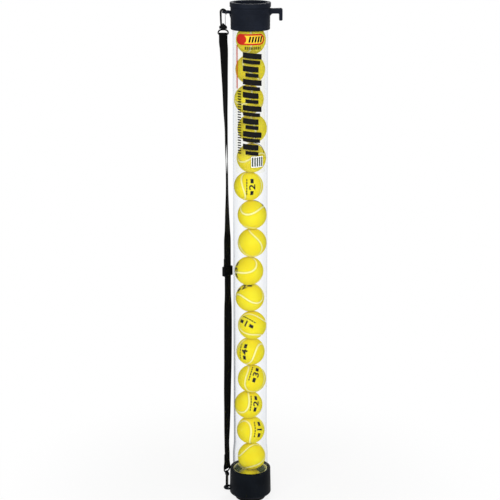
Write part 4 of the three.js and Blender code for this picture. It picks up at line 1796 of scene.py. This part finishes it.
@dataclass
class BallColumn(SubAssembly):
    """The balls in the tube."""

    radius: float = 33.5
    camera: Vector = field(default_factory=lambda: Studio().camera_place)
    ink: float = 0.08
    felt_shift: Corner = (0.11, 0.07, 0.05)

    def build(self) -> None:
        """Makes each ball from one pattern, turned as the photograph shows."""
        pattern = Ball().made(bpy.data.meshes.new("ball_pattern"))
        prints = []
        for number, look in enumerate(BALL_LOOKS, 1):
            node = f"ball_{number:02d}"
            low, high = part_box(node)
            centre = (Vector(low) + Vector(high)) / 2
            facing = self._facing(centre)
            ball = linked(f"{node}_felt", pattern.data.copy())
            for entry in ball.data.attributes[Ball.PLACE].data:
                entry.vector = Vector(entry.vector) + Vector(self.felt_shift) * number
            turn = facing @ Quaternion(look.turn).normalized().to_matrix()
            moved(ball, Matrix.Translation(centre) @ turn.to_4x4())
            self.place(ball, None, "ball_column", [node], Slot.FELT)
            if look.print_place:
                prints += self._print(look, centre, facing)
        discard(pattern)
        self.place(merged("ball_prints", prints), INK_BLACK, "ball_column")

    def _facing(self, centre: Vector) -> Matrix:
        """A frame at a ball that faces the camera.

        Args:
            centre: The ball's middle.

        Returns:
            The frame's turn.
        """
        toward = (self.camera - centre).normalized()
        right = Vector((0, 0, 1)).cross(toward).normalized()
        return Matrix((right, toward.cross(right), toward)).transposed()

    def _print(self, look: BallLook, centre: Vector, facing: Matrix) -> list[Object]:
        """A plain digit between two bars, under a row of dashes, on the ball's surface.

        Args:
            look: How the ball is turned and printed.
            centre: The ball's middle.
            facing: The frame that faces the camera.

        Returns:
            The bars and the digit.
        """
        across, up = look.print_place
        toward = math.sqrt(max(0.0, 1 - across**2 - up**2))
        outward = facing @ Vector((across, up, toward)).normalized()
        turn = math.radians(look.print_turn)
        aside = facing @ Vector((math.cos(turn), math.sin(turn), 0))
        aside = (aside - outward * aside.dot(outward)).normalized()
        above = outward.cross(aside)

        def bent(point: Vector) -> Vector:
            """A flat point laid on the ball.

            Args:
                point: The flat point.

            Returns:
                Its place on the ball.
            """
            reach = math.hypot(point.x, point.y)
            angle = reach / (self.radius * MM)
            way = aside * point.x + above * point.y
            level = self.radius * MM + point.z
            if reach < 1e-9:
                return centre + outward * level
            return centre + (outward * math.cos(angle) + way / reach * math.sin(angle)) * level

        boxes = [(-18.9 + 6.6 * i, 6.6, -13.9 + 6.6 * i, 9.2) for i in range(6)]
        boxes += [(-19.4, -8.2, -8.8, -0.6), (8.8, -8.2, 19.4, -0.6)]
        bars = drawn_flat("bars", [box(*sides, edge=0.7) for sides in boxes], self.ink)
        digit = drawn_digit("digit", look.digit, 14.0, self.ink)
        moved(digit, Matrix.Diagonal((1.35, 1.0, 1.0, 1.0)), shift(0, -4.4, 0))
        for piece in (bars, digit):
            wrapped(piece, bent, 1.6)
        return [bars, digit]


@dataclass
class Ribbon:
    """A strip of webbing along a path, with a map of its width and length in metres."""

    MAP = "webbing_map"

    name: str
    width: float = 19.0
    thickness: float = 1.4
    places: list[Vector] = field(default_factory=list)
    sides: list[Vector] = field(default_factory=list)

    def add(self, place: Vector, side: Vector) -> None:
        """Adds a point of the path with the direction of the width there.

        Args:
            place: The point.
            side: The direction.
        """
        if not self.places or (place - self.places[-1]).length >= 0.05:
            self.places.append(place)
            self.sides.append(side.normalized())

    def _section(self) -> list[Point2]:
        """Half of the section's outline is the upper face, the other half the lower.

        Returns:
            The outline's points.
        """
        half, thick = self.width / 2, self.thickness / 2
        crown = [(-half + 0.5 + (2 * half - 1) * i / 8, thick) for i in range(9)]
        edge = [(half - 0.12, thick * 0.55), (half, 0.0), (half - 0.12, -thick * 0.55)]
        return crown + edge + [(-x, -y) for x, y in crown + edge]

    def made(self, start: float = 0.0) -> Object:
        """Makes the strip.

        Args:
            start: The map's length at the strip's first point, in millimetres.

        Returns:
            The strip.
        """
        section, sections, lengths, length = self._section(), [], [], start
        last = len(self.places) - 1
        for number, (place, side) in enumerate(zip(self.places, self.sides)):
            before, after = self.places[max(number - 1, 0)], self.places[min(number + 1, last)]
            length += (place - before).length
            lengths.append(length)
            normal = (after - before).normalized().cross(side).normalized()
            sections.append([place + side * x + normal * y for x, y in section])
        mesh = raw_mesh(self.name, *loft(sections))
        layer = mesh.uv_layers.new(name=self.MAP)
        for loop, entry in zip(mesh.loops, layer.data):
            ring, i = divmod(loop.vertex_index, len(section))
            entry.uv = ((section[i][0] + self.width / 2) * MM, lengths[ring] * MM)
        return linked(self.name, tidied(mesh, 40.0))


@dataclass
class StrapRoute:
    """Where the strap hangs: rows of height, distance left, distance back and turn."""

    SHARES = (
        (0.024, 1.26, 0.94, -55.0), (0.064, 1.206, 0.82, -46.0), (0.116, 1.129, 0.68, -37.0),
        (0.167, 1.087, 0.56, -28.5), (0.244, 0.987, 0.43, -21.5), (0.319, 0.941, 0.37, -16.5),
        (0.369, 0.932, 0.34, -23.0), (None, 0.954, 0.32, -42.0), (None, 0.954, 0.32, -42.0),
        (0.565, 0.946, 0.3, -57.0), (0.612, 0.98, 0.265, -71.0), (0.66, 0.973, 0.235, -82.5),
        (0.707, 0.982, 0.2, -88.0), (0.753, 1.04, 0.165, -95.0), (0.8, 1.065, 0.135, -101.5),
        (0.846, 1.17, 0.105, -114.0), (0.891, 1.21, 0.075, -124.0), (0.936, 1.289, 0.045, -137.0),
        (0.981, 1.359, 0.012, -157.0),
    )

    low: float = 107.3
    high: float = 1101.9
    slider_ends: Point2 = (519.58, 641.08)
    lower_eye: Point2 = (56.407, 7.987)
    rows: tuple[tuple[float, ...], ...] = ()
    parting: float = 0.95
    parting_height: float = 846.3
    parting_length: float = 40.0
    layer: float = 0.85

    def __post_init__(self) -> None:
        """Works out the rows from shares of the strap's sizes."""
        span, ends = self.high - self.low, iter(self.slider_ends)
        left, back = self.lower_eye
        rows = [(self.low, left, back, -54.0)]
        for share, stand, front, turn in self.SHARES:
            share = (next(ends) - self.low) / span if share is None else share
            rows.append((self.low + share * span, 39.5 + stand * 14.0, front * back, turn))
        self.rows = (*rows, (self.high, 60.0, 0.0, -180.0))

    def value(self, column: int, height: float) -> float:
        """A curve through the rows that never swings past them.

        Args:
            column: Which number of the rows.
            height: The height.

        Returns:
            The number there.
        """
        rows = self.rows
        last = len(rows) - 1
        i = max(0, next((n for n, row in enumerate(rows) if row[0] > height), last) - 1)

        def slope(n: int) -> float:
            """The rise from a row to the next."""
            return (rows[n + 1][column] - rows[n][column]) / (rows[n + 1][0] - rows[n][0])

        def tangent(n: int) -> float:
            """The curve's slope at a row.

            Args:
                n: The row's number.

            Returns:
                The slope.
            """
            before, after = slope(max(n - 1, 0)), slope(min(n, last - 1))
            if n in (0, last):
                return after
            return 2 * before * after / (before + after) if before * after > 0 else 0.0

        width = rows[i + 1][0] - rows[i][0]
        t = min(max((height - rows[i][0]) / width, 0.0), 1.0)
        return (
            (2 * t**3 - 3 * t**2 + 1) * rows[i][column]
            + (t**3 - 2 * t**2 + t) * width * tangent(i)
            + (3 * t**2 - 2 * t**3) * rows[i + 1][column]
            + (t**3 - t**2) * width * tangent(i + 1)
        )

    def frame(self, height: float) -> tuple[Vector, Vector, Vector]:
        """The strap's middle, the direction of its width and the one through it to its back.

        Args:
            height: The height.

        Returns:
            The point and the two directions.
        """
        angle = math.radians(self.value(3, height))
        c, s = math.cos(angle), math.sin(angle)
        centre = Vector((-self.value(1, height), self.value(2, height), height))
        return centre, Vector((c, -s, 0)), Vector((s, c, 0))


@dataclass
class Strap(SubAssembly):
    """The webbing in three strips, which meet where no joint moves them, and its seams."""

    SLIDER_LEG = (
        (5.45, -1.8), (5.45, 1.5), (5.3, 4.5), (4.6, 7.5), (3.5, 10.8), (2.6, 13.6),
        (2.27, 16.0), (2.25, 20.0), (2.25, 25.0), (2.25, 30.0),
    )

    cut: float = 880.0
    step: float = 3.0
    lower_hook: float = 22.0
    upper_hook: float = 1168.2
    fold_bar: float = 49.25
    fold_end: float = 66.0
    fold_radius: float = 3.08
    sewn: float = 19.0
    seam_half: float = 7.4
    slider_height: float = 570.78
    return_low: float = 601.08
    route: StrapRoute = field(default_factory=StrapRoute)

    def build(self) -> None:
        """Makes the strips and the stitches."""
        self._lower()
        self._upper()
        self._adjusting()
        self._stitches()

    def _run(self, ribbon: Ribbon, start: float, end: float, layer: int) -> None:
        """Follows the route on the front (-1) or back (1) layer from a height to another.

        Args:
            ribbon: The strip.
            start: The first height.
            end: The last height.
            layer: The layer.
        """
        route = self.route
        count = max(2, round(abs(end - start) / self.step))
        for step in range(count + 1):
            height = start + (end - start) * step / count
            away = (height - route.parting_height) / route.parting_length
            middle = layer * (route.layer + route.parting * math.exp(-away * away / 2))
            centre, side, back = route.frame(height)
            ribbon.add(centre + back * middle, side)

    def _fold(self, ribbon: Ribbon, bar: float, merge: float, edge: float, way: Way) -> Vector:
        """Takes the webbing round a bar, from its front layer to its back layer.

        Args:
            ribbon: The strip.
            bar: The bar's height.
            merge: The height where the two layers meet.
            edge: The height on the strap's route whose frame the fold keeps.
            way: Whether the fold goes over the bar or under it.

        Returns:
            The bar's middle.
        """
        foot, side, back = self.route.frame(edge)
        centre = Vector((foot.x, foot.y, bar))
        near = self.route.layer

        def leg(layer: int, share: float) -> None:
            """Adds a point between the merged layers and the bar.

            Args:
                layer: The front (-1) or back (1) layer.
                share: How near the bar it is.
            """
            spread = near + (self.fold_radius - near) * (share * share * (3 - 2 * share))
            height = merge + (bar - merge) * share
            ribbon.add(Vector((foot.x, foot.y, height)) + back * (layer * spread), side)

        for step in range(9):
            leg(-1, step / 8)
        for step in range(1, 16):
            angle = math.pi * step / 16
            up = Vector((0, 0, way.value * self.fold_radius * math.sin(angle)))
            ribbon.add(centre + back * (-self.fold_radius * math.cos(angle)) + up, side)
        for step in range(9):
            leg(1, 1 - step / 8)
        return centre

    def _lower(self) -> None:
        """The running layer down to the lower eye and back to its sewn end."""
        ribbon, low = Ribbon("strap_lower"), self.route.low
        self._run(ribbon, self.cut, low, -1)
        merge = self.lower_hook + self.fold_end
        bar = self._fold(ribbon, self.lower_hook + self.fold_bar, merge, low, Way.UNDER)
        _, side, back = self.route.frame(low)
        for step in range(1, 8):
            height = merge + self.sewn * step / 7
            ribbon.add(Vector((bar.x, bar.y, height)) + back * self.route.layer, side)
        strip = ribbon.made()
        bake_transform(strip)
        self.place(strip, WEBBING, None, ["strap_main", "strap_bottom_fold"], Slot.WEBBING)

    def _upper(self) -> None:
        """Both layers above the cut, over the upper eye's bar."""
        ribbon, high = Ribbon("strap_upper"), self.route.high
        self._run(ribbon, self.cut, high, -1)
        bar, merge = self.upper_hook - self.fold_bar, self.upper_hook - self.fold_end
        self._fold(ribbon, bar, merge, high, Way.OVER)
        self._run(ribbon, high, self.cut, 1)
        strip = ribbon.made(self.cut)
        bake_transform(strip)
        self.place(strip, WEBBING, None, ["strap_top_fold"], Slot.WEBBING)

    def _adjusting(self) -> None:
        """The returning layer below the cut, round the slider's middle bar."""
        ribbon = Ribbon("strap_adjusting")
        self._run(ribbon, self.cut, self.return_low, 1)
        centre, side, back = self.route.frame(self.slider_height)
        middle, radius, start, drop = 3.15, 2.3, 29.0, -1.8
        points = [(self.route.layer, start + (drop - start) * step / 8) for step in range(9)]
        for angle in (math.pi * step / 14 for step in range(1, 14)):
            points.append((middle - radius * math.cos(angle), drop - radius * math.sin(angle)))
        for through, up in (*points, *self.SLIDER_LEG):
            ribbon.add(centre + back * through + Vector((0, 0, up)), side)
        strip = ribbon.made(self.cut)
        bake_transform(strip)
        self.place(strip, WEBBING, None, ["strap_return", "strap_slider_fold"], Slot.WEBBING)

    def _stitches(self) -> None:
        """A boxed cross at the lower end and bar tacks over the slider."""
        sewing, level = Stitching(), self.slider_height
        lower = self._seam(self.route.low, (1.62, -1.62), 90.5, 105.0, True)
        self.place(sewing.sewn("stitches_lower", lower), None, "lower_eye")
        upper = self._seam(level, (3.02, -0.05), level + 18.0, level + 28.5, False)
        self.place(sewing.sewn("stitches_slider", upper), None, "slider")

    def _seam(
        self, edge: float, depths: Point2, low: float, high: float, crossed: bool
    ) -> list[list[Vector]]:
        """Rows of a boxed seam on the webbing's outer faces.

        Args:
            edge: The height on the route whose frame it keeps.
            depths: How far back each face lies.
            low: Its lower end.
            high: Its upper end.
            crossed: Whether the box is crossed.

        Returns:
            The rows.
        """
        foot, side, back = self.route.frame(edge)
        half, middle = self.seam_half, (low + high) / 2
        lines = [[(-half, low), (half, low), (half, high), (-half, high), (-half, low)]]
        if crossed:
            lines += [[(-half, low), (half, high)], [(-half, high), (half, low)]]
        else:
            lines += [[(-half, middle), (half, middle)]]
        return [
            [Vector((foot.x, foot.y, up)) + side * x + back * through for x, up in line]
            for through in depths
            for line in lines
        ]


@dataclass
class Slider(SubAssembly):
    """The three-bar slider on the webbing."""

    BARS = (
        ((-13.0, -4.2, -11.2), (-9.9, 4.35, 11.2)), ((-12.0, -4.2, 7.6), (12.0, -1.95, 11.1)),
        ((-12.0, -4.2, -11.1), (12.0, -1.95, -7.6)), ((-12.0, 1.95, -1.9), (12.0, 4.35, 1.9)),
    )

    height: float = 570.78
    route: StrapRoute = field(default_factory=StrapRoute)

    def build(self) -> None:
        """Makes the slider from rounded bars melted together."""
        body = rounded_block("slider_frame", (9.9, -4.2, -11.2), (13.0, 4.35, 11.2), 1.1)
        for low, high in self.BARS:
            body = joined(body, rounded_block("slider_bar", low, high, 0.7))
        body = cast(body, 0.34, 5)
        turn = math.radians(self.route.value(3, self.height))
        centre = self.route.frame(self.height)[0]
        moved(body, Matrix.Rotation(-turn, 4, "Z"), shift(*centre))
        self.place(body, SLIDER_MOULDING, "slider", ["slider"], Slot.SLIDER)


@dataclass
class SnapHook(SubAssembly):
    """A swivel snap hook: body, sprung gate, gate pin and swivel eye.

    It is drawn about the bar that it hangs on: X out from the tube, Z up the shank, and the
    shank runs down from the bar. Its frames come from that bar's place, the turns of hook and
    eye in degrees, and whether the shank goes up.
    """

    BASE = (
        (-27.5, 4.3, 2.9), (-28.2, 4.9, 3.4), (-29.4, 5.4, 3.7), (-30.3, 7.0, 3.75),
        (-31.0, 8.4, 3.75), (-32.0, 8.9, 3.75), (-35.8, 8.9, 3.75), (-36.6, 8.6, 3.5),
        (-37.0, 7.6, 2.8),
    )
    GATE_PATH = ((-4.9, -31.0), (-4.85, -24.0), (-4.8, -16.0), (-4.75, -9.0), (-4.7, -4.9))
    GATE_HALVES = ((0.6, 1.6), (0.55, 1.6), (0.55, 1.6), (0.52, 1.55), (0.45, 1.3))

    prefix: str
    bar: Corner
    hook_turn: float
    eye_turn: float
    upright: bool
    bow: float = 5.35
    wire: float = 2.4

    def build(self) -> None:
        """Makes the four pieces."""
        for piece, name, body, node, finish in (
            (self._body(), "hook_body", None, "hook", HOOK_COATING),
            (self._gate(), "gate_lever", "gate", "gate", GATE_STEEL),
            (self._crosswise("pin", 0.85, 3.7, 24, 0.25), "pin", None, "gate_pin", HOOK_COATING),
            (self._eye(), "swivel_eye", "eye", "eye", HOOK_COATING),
        ):
            piece.name = f"{self.prefix}_{name}"
            moved(piece, self._frame(self.eye_turn if node == "eye" else self.hook_turn))
            body = f"{self.prefix}_{body}" if body else "root"
            self.place(piece, finish, body, [f"{self.prefix}_{node}"], Slot.HOOK)

    def _frame(self, degrees: float) -> Matrix:
        """A frame at the bar, with the shank down, or up if upright."""
        frame = shift(*self.bar) @ Matrix.Rotation(math.radians(degrees), 4, "Z")
        return frame @ Matrix.Rotation(math.pi, 4, "X") if self.upright else frame

    @staticmethod
    def _crosswise(
        name: str, radius: float, half: float, sides: int, edge: float = 0.0
    ) -> Object:
        """A round bar through the gate's hinge, from front to back."""
        made = drum(name, radius, -half, half, sides, edge)
        return moved(made, shift(-4.9, 0, -31.0) @ Matrix.Rotation(math.pi / 2, 4, "X"))

    def _body(self) -> Object:
        """The bow, spine and base as one casting, with the gate's slot.

        Returns:
            The casting.
        """
        path = upright((4.55, -29.2), (4.75, -22.0), (5.2, -9.0))
        halves = [(2.0, 1.9), (2.1, 1.95), (2.25, 2.0)]
        for angle in (math.pi * step / 16 for step in range(17)):
            path += upright((self.bow * math.cos(angle), self.bow * math.sin(angle)))
            halves.append((self.wire, 2.0))
        path += upright((-5.6, -1.6), (-6.1, -3.2), (-6.65, -4.8), (-7.0, -6.1))
        halves += [(2.05, 2.0), (1.55, 1.9), (1.0, 1.7), (0.5, 1.3)]
        base = [level_ring(40, half, deep, z, power=0.55) for z, half, deep in self.BASE]
        body = joined(swept("hook_bow", path, halves, FRONT_AXIS), lofted("hook_base", base))
        slot = rounded_block("gate_slot", (-10.0, -2.0, -33.3), (-2.7, 2.0, -25.0))
        body = joined(body, slot, Joining.DIFFERENCE)
        hole = drum("stem_hole", 2.1, -40.0, -25.5, 32)
        return cast(joined(body, hole, Joining.DIFFERENCE), 0.33, 4)

    def _gate(self) -> Object:
        """The gate: a thin lever from its boss to the nose.

        Returns:
            The gate.
        """
        lever = swept("gate_lever", upright(*self.GATE_PATH), self.GATE_HALVES, FRONT_AXIS)
        gate = joined(lever, self._crosswise("gate_boss", 1.9, 1.7, 32, 0.3))
        return joined(gate, self._crosswise("gate_bore", 1.1, 3.0, 24), Joining.DIFFERENCE)

    @staticmethod
    def _eye() -> Object:
        """The swivel eye: a D-shaped loop on a riveted stem.

        Returns:
            The eye.
        """
        bar, half = -49.2, 11.2
        corners = [(-half, bar, 3.2), (half, bar, 3.2), (half, -43.2, 4.0)]
        corners += [(6.2, -38.8, 4.4), (-6.2, -38.8, 4.4), (-half, -43.2, 4.0)]
        path = upright(*softened(corners, 6))
        halves = [(1.25 + 0.5 * max(0.0, min(1.0, (p.z - bar) / 8.0)), 1.6) for p in path]
        loop = swept("eye_loop", path, halves, FRONT_AXIS, closed=True)
        for name, radius, low, high, edge in (
            ("eye_stem", 1.75, -40.0, -25.4, 0.0),
            ("eye_boss", 3.1, -40.2, -37.35, 0.4),
            ("eye_rivet", 2.4, -27.2, -25.0, 0.5),
        ):
            loop = joined(loop, drum(name, radius, low, high, 32, edge))
        return cast(loop, 0.33, 4)


def main() -> None:
    """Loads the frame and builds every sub-assembly in order."""
    logging.basicConfig(level=logging.INFO, format="%(name)s: %(message)s")
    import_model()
    bpy.context.scene.view_settings.view_transform = "Standard"
    Studio().build()
    assemblies: list[SubAssembly] = [
        ClearTube(),
        PrintedFilm(),
        TopCollar(),
        PickupHead(),
        *(Flap(number, azimuth) for number, azimuth in ((1, -65.0), (2, 55.0), (3, 175.0))),
        BallColumn(),
        Strap(),
        Slider(),
        SnapHook("upper", (-60.0, 0.0, 1168.2), 180.0, 180.0, False),
        SnapHook("lower", (-56.407, 7.987, 22.0), 110.0, 54.0, True),
    ]
    for assembly in assemblies:
        assembly.build()
        LOG.info("built %s", type(assembly).__name__)


if __name__ == "__main__":
    main()
